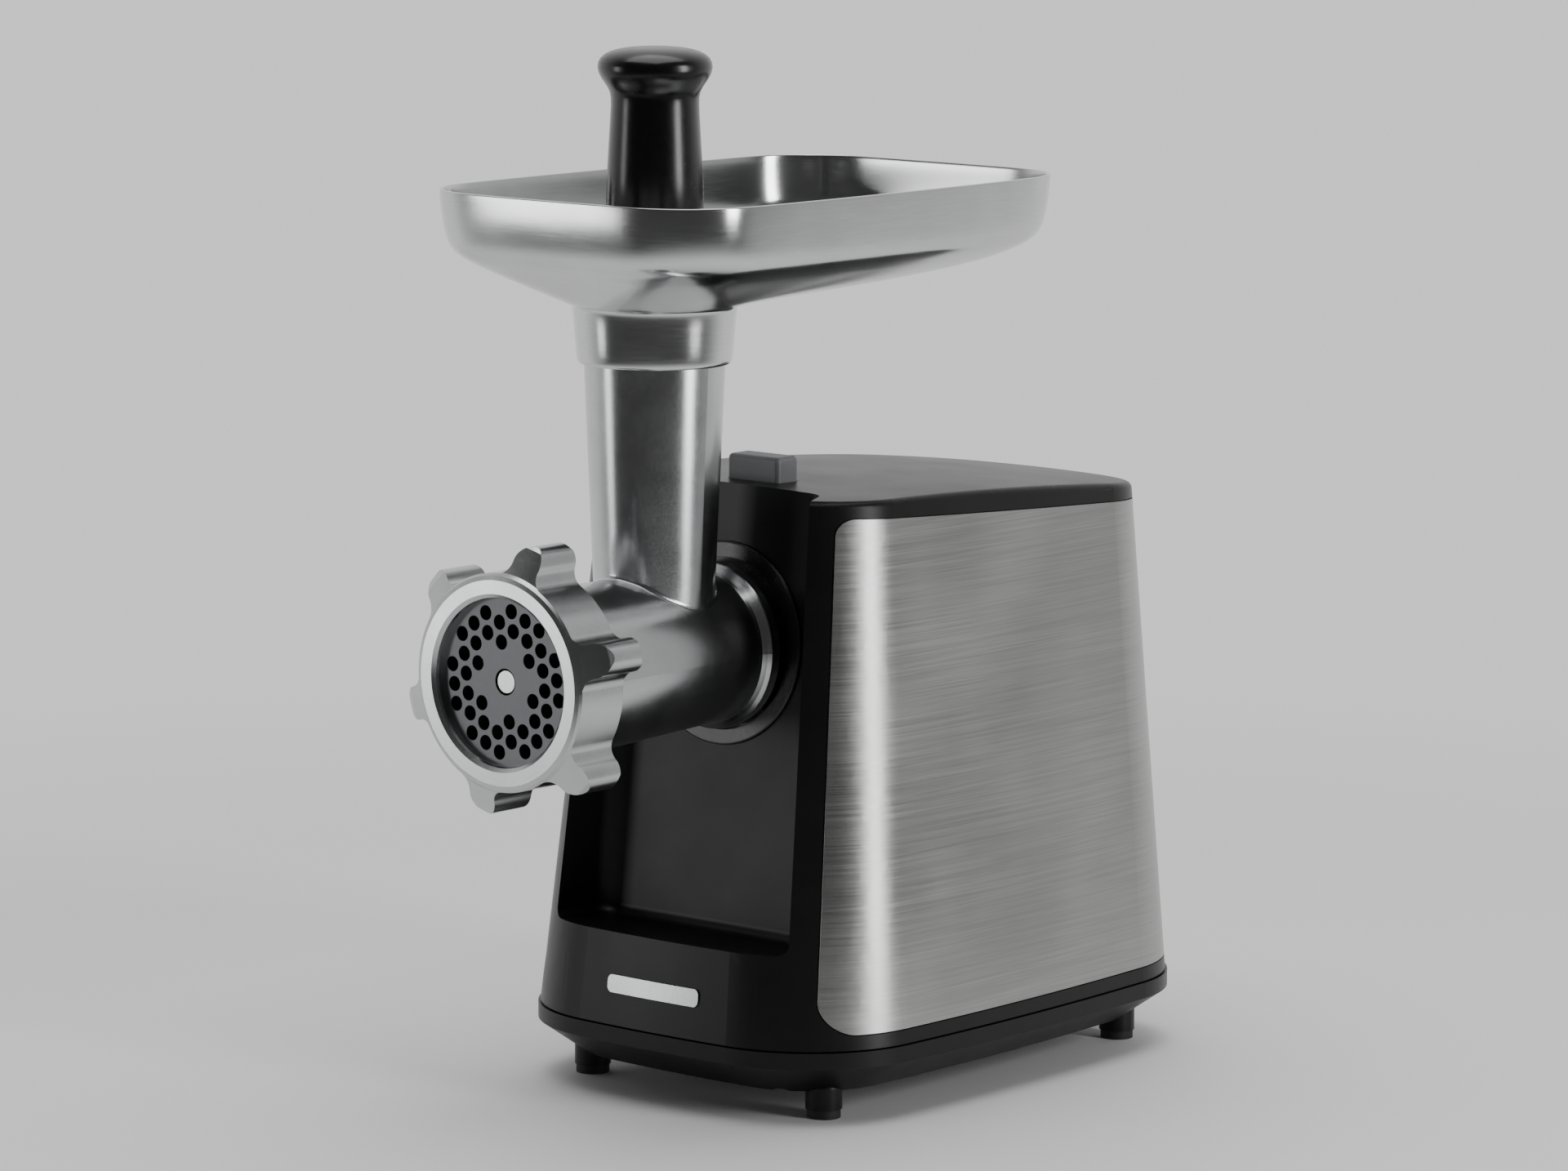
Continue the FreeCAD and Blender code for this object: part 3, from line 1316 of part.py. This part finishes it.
def make_foot():
    cave_r = stem_r - pusher_wall
    profile = [V(0, 0, pusher_low_z), V(stem_r - 1.2, 0, pusher_low_z), V(stem_r, 0, pusher_low_z + 1.2),
               V(stem_r, 0, pusher_low_z + pusher_foot_t), V(cave_r, 0, pusher_low_z + pusher_foot_t),
               V(cave_r, 0, pusher_low_z + 9), V(0, 0, pusher_low_z + 9)]
    return turn_about_z([line(profile[i - 1], profile[i]) for i in range(len(profile))], 0, 0)


for node, shape in (("pusher", make_pusher()), ("pusher_foot", make_foot())):
    shape.translate(V(0, tube_y, 0))
    save(node, shape)
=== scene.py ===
import math

import bpy
from mathutils import Matrix, Vector


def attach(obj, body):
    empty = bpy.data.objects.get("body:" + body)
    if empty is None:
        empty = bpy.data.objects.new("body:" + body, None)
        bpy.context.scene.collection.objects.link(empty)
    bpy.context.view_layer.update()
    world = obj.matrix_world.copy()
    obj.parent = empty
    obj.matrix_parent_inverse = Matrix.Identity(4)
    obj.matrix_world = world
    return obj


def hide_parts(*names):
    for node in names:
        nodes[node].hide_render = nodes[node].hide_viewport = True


# Electric meat grinder, in metres: +Z up, the ring nut towards -Y, the worktop at z = 0.
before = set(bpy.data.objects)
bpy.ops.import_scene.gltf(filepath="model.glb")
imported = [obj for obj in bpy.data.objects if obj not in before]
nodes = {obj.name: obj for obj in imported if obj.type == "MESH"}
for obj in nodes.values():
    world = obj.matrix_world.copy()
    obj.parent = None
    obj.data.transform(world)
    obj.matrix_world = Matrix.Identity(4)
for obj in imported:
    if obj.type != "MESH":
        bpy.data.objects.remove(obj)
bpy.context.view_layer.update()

TUBE_Y = -0.0698


# ---------------------------------------------------------------- finishes
def colour(code):
    """sRGB hex to the linear colour that the shader takes."""
    parts = [int(code[i:i + 2], 16) / 255 for i in (1, 3, 5)]
    return [c / 12.92 if c <= 0.04045 else ((c + 0.055) / 1.055) ** 2.4 for c in parts] + [1.0]


def add(tree, kind, links=None, **settings):
    """Adds a node; links gives each input a value or another node's output."""
    made = tree.nodes.new(kind)
    for name, value in settings.items():
        setattr(made, name, value)
    for name, value in (links or {}).items():
        if isinstance(value, bpy.types.NodeSocket):
            tree.links.new(value, made.inputs[name])
        else:
            made.inputs[name].default_value = value
    return made


def start(name, **shader):
    """New material with a shader whose constants are set on its own sockets."""
    material = bpy.data.materials.new(name)
    material.use_nodes = True
    tree = material.node_tree
    tree.nodes.clear()
    surface = add(tree, "ShaderNodeBsdfPrincipled", shader)
    add(tree, "ShaderNodeOutputMaterial", {"Surface": surface.outputs[0]})
    place = add(tree, "ShaderNodeTexCoord").outputs["Object"]
    return material, tree, surface, place


def grained(name, light, dark, grain, blotch, rough, bump, depth, stretch=(1, 1, 1), **shader):
    """Fine grain over broad patches, sized in millimetres; both move colour and roughness."""
    material, tree, surface, place = start(name, **shader)
    run = add(tree, "ShaderNodeMapping", {"Vector": place, "Scale": stretch})
    fine = add(tree, "ShaderNodeTexNoise", {"Vector": run.outputs[0], "Scale": 1000 / grain, "Detail": 3.0})
    broad = add(tree, "ShaderNodeTexNoise", {"Vector": place, "Scale": 1000 / blotch, "Detail": 2.0})
    both = add(tree, "ShaderNodeMix", {"Factor": 0.5, "A": fine.outputs["Fac"], "B": broad.outputs["Fac"]})
    even = add(tree, "ShaderNodeMapRange", {"Value": both.outputs["Result"],
                                            "From Min": 0.35, "From Max": 0.65})
    tone = add(tree, "ShaderNodeMix", {"Factor": even.outputs["Result"]}, data_type="RGBA")
    tone.inputs["A"].default_value = colour(dark)
    tone.inputs["B"].default_value = colour(light)
    dull = add(tree, "ShaderNodeMapRange", {"Value": even.outputs["Result"],
                                            "To Min": rough[0], "To Max": rough[1]})
    relief = add(tree, "ShaderNodeBump", {"Height": fine.outputs["Fac"],
                                          "Strength": bump, "Distance": depth / 1000})
    tree.links.new(tone.outputs["Result"], surface.inputs["Base Color"])
    tree.links.new(dull.outputs["Result"], surface.inputs["Roughness"])
    tree.links.new(relief.outputs["Normal"], surface.inputs["Normal"])
    return material


# Moulded ABS with a fine spark-eroded texture: the eye sees a soft dark sheen with no sharp reflections.
abs_textured = grained("abs_moulded_textured", "#111112", "#0d0d0e", 0.5, 24, (0.32, 0.38), 0.15, 0.02,
                       **{"Specular IOR Level": 0.25})
# The same plastic from a smoother tool, for the base and the rear cover.
abs_base = grained("abs_moulded_base", "#101011", "#0b0b0c", 0.6, 18, (0.34, 0.42), 0.2, 0.02,
                   **{"Specular IOR Level": 0.25})
# Ring of smooth ABS: a little glossier, so its edge draws a thin light line.
abs_ring = grained("abs_turned_ring", "#131314", "#0f0f10", 0.8, 30, (0.26, 0.32), 0.06, 0.02)
# Grey ABS button cap, finely matt.
abs_grey = grained("abs_moulded_grey", "#77787a", "#6c6d6f", 0.5, 12, (0.42, 0.50), 0.2, 0.03)
# Polypropylene from a polished tool: black, with soft-edged highlights and faint flow marks.
satin_black = grained("polypropylene_satin", "#0d0d0e", "#09090a", 3.0, 40, (0.22, 0.28), 0.03, 0.02)
# Stainless sheet, brushed along its length: long fine streaks with light drawn out across them.
steel_brushed = grained("stainless_sheet_brushed", "#a9a9a8", "#949493", 0.55, 60, (0.28, 0.36), 0.12, 0.02,
                        stretch=(0.012, 0.012, 1), Metallic=1.0)
# Die-cast aluminium, vibratory polished: satin, with tiny tumbling marks and slow patches.
alloy_cast = grained("aluminium_cast_polished", "#c2c3c4", "#b7b8b9", 0.7, 14, (0.20, 0.26), 0.04, 0.02,
                     Metallic=1.0)
# Spun and buffed aluminium sheet: near mirror with faint buffing lines.
alloy_buffed = grained("aluminium_sheet_buffed", "#cfd0d0", "#c6c7c7", 0.5, 20, (0.15, 0.20), 0.04, 0.02,
                       stretch=(0.05, 0.05, 1), Metallic=1.0)
# Ground tool steel, darker than the casting, with a fine even grind.
steel_ground = grained("tool_steel_ground", "#77787a", "#66676a", 0.35, 10, (0.36, 0.46), 0.12, 0.02,
                       Metallic=1.0)
# Turned steel for shafts, gears and springs.
steel_turned = grained("steel_turned", "#a7a8aa", "#8e8f92", 0.4, 8, (0.26, 0.36), 0.10, 0.02, Metallic=1.0)
# Zinc-plated screws: pale and slightly mottled.
zinc_plated = grained("steel_zinc_plated", "#b4b5b4", "#9c9da0", 0.6, 3, (0.28, 0.40), 0.10, 0.02,
                      Metallic=1.0)
# Moulded natural nylon, waxy and off-white.
nylon = grained("nylon_moulded", "#d9d5c8", "#cbc6b6", 0.8, 12, (0.40, 0.50), 0.12, 0.03)
# Stacked electrical steel: thin dark laminations across the motor's axis.
laminated = grained("electrical_steel_laminated", "#6c6d70", "#3f4043", 0.6, 20, (0.40, 0.55), 0.3, 0.1,
                    stretch=(0.02, 1, 0.02), Metallic=1.0)
# Enamelled copper windings: warm, glossy, finely ribbed.
copper_wound = grained("copper_wire_enamelled", "#b9683c", "#8d4826", 0.8, 6, (0.22, 0.34), 0.5, 0.2,
                       stretch=(1, 0.05, 1), Metallic=1.0)
# Sintered bronze, dull and speckled.
bronze = grained("bronze_sintered", "#a9854f", "#8d6c3c", 0.4, 4, (0.40, 0.52), 0.2, 0.05, Metallic=1.0)
# Pressed carbon, nearly black and dusty.
carbon = grained("carbon_pressed", "#232324", "#19191a", 0.4, 3, (0.6, 0.75), 0.2, 0.05)
# Glass-epoxy board with solder mask.
board_green = grained("epoxy_board_masked", "#1d5a35", "#174a2b", 1.2, 8, (0.30, 0.42), 0.15, 0.04)
# Moulded nitrile rubber with a dry bloom.
rubber = grained("nitrile_rubber_moulded", "#1b1b1b", "#131313", 0.5, 6, (0.62, 0.75), 0.3, 0.05)
# Satin chrome: a soft silver bar.
satin_trim = grained("zinc_die_cast_satin_chrome", "#b4b5b6", "#a8a9aa", 0.8, 10, (0.24, 0.30), 0.04, 0.02,
                     Metallic=1.0)

FINISH = {
    "housing_shell": abs_textured, "rear_cover": abs_base, "base_tray": abs_base, "socket_ring": abs_ring,
    "side_panel_left": steel_brushed, "side_panel_right": steel_brushed, "foot_pads": rubber,
    "base_screws": zinc_plated, "rear_screws": zinc_plated, "gear_case_screws": zinc_plated,
    "front_badge": satin_trim, "button_guide": nylon, "button_spring": steel_turned, "gear_case_front": nylon,
    "gear_case_rear": nylon, "gear_pins": steel_turned, "output_bush": bronze, "shaft_seal": rubber,
    "motor_stator": laminated, "field_coils": copper_wound, "motor_bracket_front": alloy_cast,
    "motor_bracket_rear": alloy_cast, "rotor_bearings": bronze, "brush_holders": bronze,
    "carbon_brushes": carbon, "motor_mounts": rubber, "circuit_board": board_green, "switch_body": abs_base,
    "cord_inlet": rubber, "release_button": abs_grey, "lock_pin": steel_turned, "rocker_switch": satin_black,
    "rotor_shaft": steel_turned, "rotor_core": laminated, "commutator": copper_wound, "cooling_fan": nylon,
    "gear_1": nylon, "gear_2": steel_turned, "output_gear": steel_turned, "output_shaft": steel_turned,
    "auger": alloy_cast, "knife": steel_ground, "thrust_washer": nylon, "head_casting": alloy_cast,
    "plate_key": steel_turned, "hole_plate": steel_ground, "ring_nut": alloy_cast, "tray": alloy_buffed,
    "pusher": satin_black, "pusher_foot": satin_black,
}
for name, finish in FINISH.items():
    nodes[name].data.materials.clear()
    nodes[name].data.materials.append(finish)


# ---------------------------------------------------------------- modelling
def clear():
    bpy.ops.object.select_all(action="DESELECT")


def alone(piece):
    clear()
    bpy.context.view_layer.objects.active = piece
    piece.select_set(True)


def edit(piece):
    """Edit mode on one piece, with nothing selected in it."""
    alone(piece)
    bpy.ops.object.mode_set(mode="EDIT")
    bpy.ops.mesh.select_mode(type="VERT")
    bpy.ops.mesh.select_all(action="DESELECT")


def leave():
    bpy.ops.object.mode_set(mode="OBJECT")


def pick(piece, kind, test):
    """In edit mode, selects the vertices, edges or faces whose middle passes the test."""
    leave()
    mesh = piece.data
    for group in (mesh.vertices, mesh.edges, mesh.polygons):
        group.foreach_set("select", [False] * len(group))
    if kind == "VERT":
        for v in mesh.vertices:
            v.select = test(v.co)
    elif kind == "EDGE":
        for e in mesh.edges:
            e.select = test((mesh.vertices[e.vertices[0]].co + mesh.vertices[e.vertices[1]].co) / 2)
    else:
        for f in mesh.polygons:
            f.select = test(f.center)
    bpy.ops.object.mode_set(mode="EDIT")
    bpy.ops.mesh.select_mode(type=kind)


def modify(piece, kind, **settings):
    """Adds a modifier and applies it."""
    alone(piece)
    made = piece.modifiers.new(kind.lower(), kind)
    for name, value in settings.items():
        setattr(made, name, value)
    bpy.ops.object.modifier_apply(modifier=made.name)


def done(piece, name, finish, body, *stands_for, angle=35):
    """Puts the piece's place in its mesh, shades it, and lets it stand for CAD nodes on their body."""
    alone(piece)
    bpy.ops.object.transform_apply(location=True, rotation=True, scale=True)
    bpy.ops.object.shade_smooth_by_angle(angle=math.radians(angle))
    piece.name = name
    piece.data.materials.clear()
    piece.data.materials.append(finish)
    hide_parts(*stands_for)
    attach(piece, body)


def spun(profile, centre, axis, steps):
    """Turned piece: a line through (radius, height) points in millimetres, spun right round the axis."""
    along = Vector(axis)
    points = [Vector(centre) + Vector((r, 0, 0)) / 1000 + along * h / 1000 for r, h in profile]
    clear()
    bpy.ops.mesh.primitive_plane_add(size=0.001, location=points[0])
    piece = bpy.context.object
    edit(piece)
    bpy.ops.mesh.select_all(action="SELECT")
    bpy.ops.mesh.merge(type="CENTER")
    for before, after in zip(points, points[1:]):
        bpy.ops.mesh.extrude_vertices_move(TRANSFORM_OT_translate={"value": after - before})
    bpy.ops.mesh.select_all(action="SELECT")
    bpy.ops.mesh.spin(steps=steps, angle=math.tau, center=centre, axis=axis)
    bpy.ops.mesh.select_all(action="SELECT")
    bpy.ops.mesh.remove_doubles(threshold=0.000005)
    bpy.ops.mesh.normals_make_consistent(inside=False)
    leave()
    return piece


# Food tray: a rounded rectangle drawn down into a wall, a knee and a funnel, then into the collar.
RIM = Vector((0, -0.0218, 0.308))
RIM_HALF_W = 0.064
RIM_HALF_L = 0.10175
CORNER_R = 0.030
# Bows: within each reach of the middle of a run, its points are pushed a little further outwards.
SIDE_BOW = ((0.058, 0.0008), (0.040, 0.0005), (0.020, 0.0002))
END_BOW = ((0.020, 0.0004), (0.010, 0.0002))
# Wall and knee in millimetres: half width, half length, and how far down from the loop before.
WALL_TOP = (66, 104)
WALL = ((65.6, 103.6, 6), (64.7, 102.7, 7.5), (63.4, 101.4, 5.3), (60.7, 98.7, 3.3), (56.2, 94.2, 2.8))
# Collar in millimetres: radius, and how far down from the ring before.
COLLAR_TOP = 0.2705
COLLAR_TOP_R = 28.1
COLLAR = ((27.4, 0.4), (27.0, 2.2), (25.9, 14.9), (25.5, 1.2), (24.9, 0.9))
TRAY_SHEET = 0.0016
RIM_LINE = 0.0003


def drawn_down(drop, wide, long, centre):
    """Extrudes the selected loop down by a drop in millimetres and scales it about a centre."""
    bpy.ops.mesh.extrude_edges_move(TRANSFORM_OT_translate={"value": (0, 0, -drop / 1000)})
    bpy.ops.transform.resize(value=(wide, long, 1), center_override=centre)


def tray_outline():
    """The rim's loop: a rectangle with rounded corners and bowed sides."""
    clear()
    bpy.ops.mesh.primitive_plane_add(size=1, location=RIM)
    piece = bpy.context.object
    alone(piece)
    bpy.ops.object.transform_apply(location=True)
    edit(piece)
    bpy.ops.mesh.select_all(action="SELECT")
    bpy.ops.transform.resize(value=(2 * RIM_HALF_W, 2 * RIM_HALF_L, 1), center_override=RIM)
    bpy.ops.mesh.bevel(offset=CORNER_R, segments=6, affect="VERTICES", profile=0.5)
    bpy.ops.mesh.delete(type="ONLY_FACE")
    pick(piece, "EDGE", lambda c: abs(c.x) > RIM_HALF_W - 0.0001)
    bpy.ops.mesh.subdivide(number_cuts=7)
    pick(piece, "EDGE", lambda c: abs(c.y - RIM.y) > RIM_HALF_L - 0.0001)
    bpy.ops.mesh.subdivide(number_cuts=3)
    for sign in (-1, 1):
        for reach, push in SIDE_BOW:
            pick(piece, "VERT", lambda c: sign * c.x > RIM_HALF_W - 0.0005 and abs(c.y - RIM.y) < reach)
            bpy.ops.transform.translate(value=(sign * push, 0, 0))
        for reach, push in END_BOW:
            pick(piece, "VERT", lambda c: sign * (c.y - RIM.y) > RIM_HALF_L - 0.0005 and abs(c.x) < reach)
            bpy.ops.transform.translate(value=(0, sign * push, 0))
    return piece


def make_tray():
    piece = tray_outline()
    bpy.ops.mesh.select_all(action="SELECT")
    half_w, half_l = WALL_TOP
    for new_w, new_l, drop in WALL:
        drawn_down(drop, new_w / half_w, new_l / half_l, RIM)
        half_w, half_l = new_w, new_l
    leave()
    knee_low = RIM.z - sum(drop for _, _, drop in WALL) / 1000 + 0.0004
    count = sum(1 for v in piece.data.vertices if v.co.z < knee_low)
    clear()
    bpy.ops.mesh.primitive_circle_add(vertices=count, radius=COLLAR_TOP_R / 1000,
                                      location=(0, TUBE_Y, COLLAR_TOP))
    ring = bpy.context.object
    alone(ring)
    bpy.ops.object.transform_apply(location=True)
    piece.select_set(True)
    bpy.context.view_layer.objects.active = piece
    bpy.ops.object.join()
    edit(piece)
    pick(piece, "EDGE", lambda c: c.z < knee_low)
    bpy.ops.mesh.bridge_edge_loops(number_cuts=6, interpolation="SURFACE", smoothness=0.35)
    pick(piece, "EDGE", lambda c: c.z < COLLAR_TOP + 0.0001)
    radius = COLLAR_TOP_R
    for new_radius, drop in COLLAR:
        drawn_down(drop, new_radius / radius, new_radius / radius, (0, TUBE_Y, 0))
        radius = new_radius
    bpy.ops.mesh.select_all(action="SELECT")
    bpy.ops.mesh.normals_make_consistent(inside=False)
    leave()
    modify(piece, "SOLIDIFY", thickness=TRAY_SHEET, offset=-1.0, use_even_offset=True)
    # The sheet's top edge is ringed by one more loop, so that the subdivision keeps it crisp.
    pick(piece, "FACE", lambda c: c.z > RIM.z - 0.00005)
    bpy.ops.mesh.inset(thickness=RIM_LINE, depth=0.0)
    leave()
    modify(piece, "SUBSURF", levels=2, render_levels=2)
    return piece


done(make_tray(), "food_tray", alloy_buffed, "tray_body", "tray", angle=50)


# Pusher handle: a low dome over a rolled knob, a waist, and a hollow stem that widens downwards.
# Outlines in millimetres: radius, and height from the top.
PUSHER_TOP = 0.355
PUSHER_OUTSIDE = ((0, 0), (5, 0), (10, -0.3), (14.8, -1.3), (18.3, -3.4), (19.3, -6.6), (18.0, -10.2),
                  (15.4, -13.2), (14.4, -16.2), (14.6, -21), (15.2, -31), (15.9, -43), (16.3, -56),
                  (16.3, -115), (16.3, -171.5), (16.2, -173.4), (15.6, -174))
PUSHER_INSIDE = ((14.0, -174), (13.7, -173), (13.7, -115), (13.7, -60), (12.4, -45), (11.4, -33),
                 (6, -27), (0, -26))


def make_pusher():
    piece = spun(PUSHER_OUTSIDE + PUSHER_INSIDE, (0, TUBE_Y, PUSHER_TOP), (0, 0, 1), steps=64)
    modify(piece, "SUBSURF", levels=1, render_levels=1)
    return piece


done(make_pusher(), "pusher_handle", satin_black, "pusher_body", "pusher", angle=60)


# ---------------------------------------------------------------- floor, light and camera
FLOOR_SIZE = 4
FADE_FROM, FADE_TO = 0.30, 0.85

clear()
bpy.ops.mesh.primitive_plane_add(size=FLOOR_SIZE, location=(0, 0, 0))
floor = bpy.context.object
floor.name = "floor"
# Matt paper that melts into the pale room a step away from the machine.
paper, tree, sheet, place = start("paper_backdrop", Roughness=0.8)
tooth = add(tree, "ShaderNodeTexNoise", {"Vector": place, "Scale": 400.0, "Detail": 2.0})
shade = add(tree, "ShaderNodeMapRange", {"Value": tooth.outputs["Fac"], "To Min": 0.80, "To Max": 0.84})
tree.links.new(shade.outputs["Result"], sheet.inputs["Base Color"])
away = add(tree, "ShaderNodeVectorMath", {0: place}, operation="LENGTH")
fade = add(tree, "ShaderNodeMapRange", {"Value": away.outputs["Value"],
                                        "From Min": FADE_FROM, "From Max": FADE_TO,
                                        "To Min": 0.0, "To Max": 1.0}, interpolation_type="SMOOTHSTEP")
melted = add(tree, "ShaderNodeMixShader", {0: fade.outputs["Result"], 1: sheet.outputs[0],
                                           2: add(tree, "ShaderNodeBsdfTransparent").outputs[0]})
result = next(n for n in tree.nodes if n.type == "OUTPUT_MATERIAL")
tree.links.new(melted.outputs[0], result.inputs["Surface"])
floor.data.materials.append(paper)

# The room is pale behind the machine and dim in front of it, so that round metal gets bright edges
# and a dark middle. The camera itself sees one even pale tone.
DIM_SIDE = (0.64, -0.76, 0.12)
PALE, DIM, SEEN = 0.95, 0.06, 0.92
world = bpy.data.worlds.new("studio")
bpy.context.scene.world = world
world.use_nodes = True
room = world.node_tree
room.nodes.clear()
facing = add(room, "ShaderNodeVectorMath", {0: add(room, "ShaderNodeTexCoord").outputs["Generated"],
                                            1: DIM_SIDE}, operation="DOT_PRODUCT")
dim = add(room, "ShaderNodeMapRange", {"Value": facing.outputs["Value"], "From Min": -0.60, "From Max": 0.35,
                                       "To Min": PALE, "To Max": DIM}, interpolation_type="SMOOTHSTEP")
lit = add(room, "ShaderNodeBackground", {"Color": colour("#ffffff"), "Strength": dim.outputs["Result"]})
seen = add(room, "ShaderNodeBackground", {"Color": colour("#ffffff"), "Strength": SEEN})
choice = add(room, "ShaderNodeMixShader", {0: add(room, "ShaderNodeLightPath").outputs["Is Camera Ray"],
                                           1: lit.outputs[0], 2: seen.outputs[0]})
add(room, "ShaderNodeOutputWorld", {"Surface": choice.outputs[0]})


def softbox(name, place, aim, width, height, power):
    """Rectangular light of a width and height in metres and a power in watts, turned to its aim."""
    light = bpy.data.lights.new(name, "AREA")
    light.shape = "RECTANGLE"
    light.size = width
    light.size_y = height
    light.energy = power
    lamp = bpy.data.objects.new(name, light)
    bpy.context.scene.collection.objects.link(lamp)
    lamp.location = place
    lamp.rotation_euler = (Vector(aim) - Vector(place)).to_track_quat("-Z", "Y").to_euler()


softbox("top_box", (0.0, -0.1, 1.7), (0, 0, 0.15), 1.5, 1.5, 20)
softbox("left_box", (-1.35, -1.6, 0.25), (0, -0.1, 0.15), 0.4, 0.9, 5)
softbox("right_box", (1.8, 0.30, 0.5), (0, 0, 0.15), 0.45, 1.3, 20)

# Camera: long lens from the right of the ring nut, a little above the machine's middle.
AZIMUTH = math.radians(40.0)
HEIGHT = math.radians(8.6)
ROLL = math.radians(0.26)
DISTANCE = 2.2
AIM = Vector((0, 0.0382, 0.1645))
AIM_SHIFT = -0.0265
SENSOR_MM = 36
LENS_MM = 146.8

back = Vector((math.sin(AZIMUTH) * math.cos(HEIGHT), -math.cos(AZIMUTH) * math.cos(HEIGHT), math.sin(HEIGHT)))
side = Vector((math.cos(AZIMUTH), math.sin(AZIMUTH), 0))
up = back.cross(side)
across = side * math.cos(ROLL) + up * math.sin(ROLL)
upright = up * math.cos(ROLL) - side * math.sin(ROLL)
lens_data = bpy.data.cameras.new("camera")
lens_data.sensor_width = SENSOR_MM
lens_data.lens = LENS_MM
camera = bpy.data.objects.new("camera", lens_data)
bpy.context.scene.collection.objects.link(camera)
stance = Matrix((across, upright, back)).transposed().to_4x4()
stance.translation = side * AIM_SHIFT + AIM + back * DISTANCE
camera.matrix_world = stance
bpy.context.scene.camera = camera
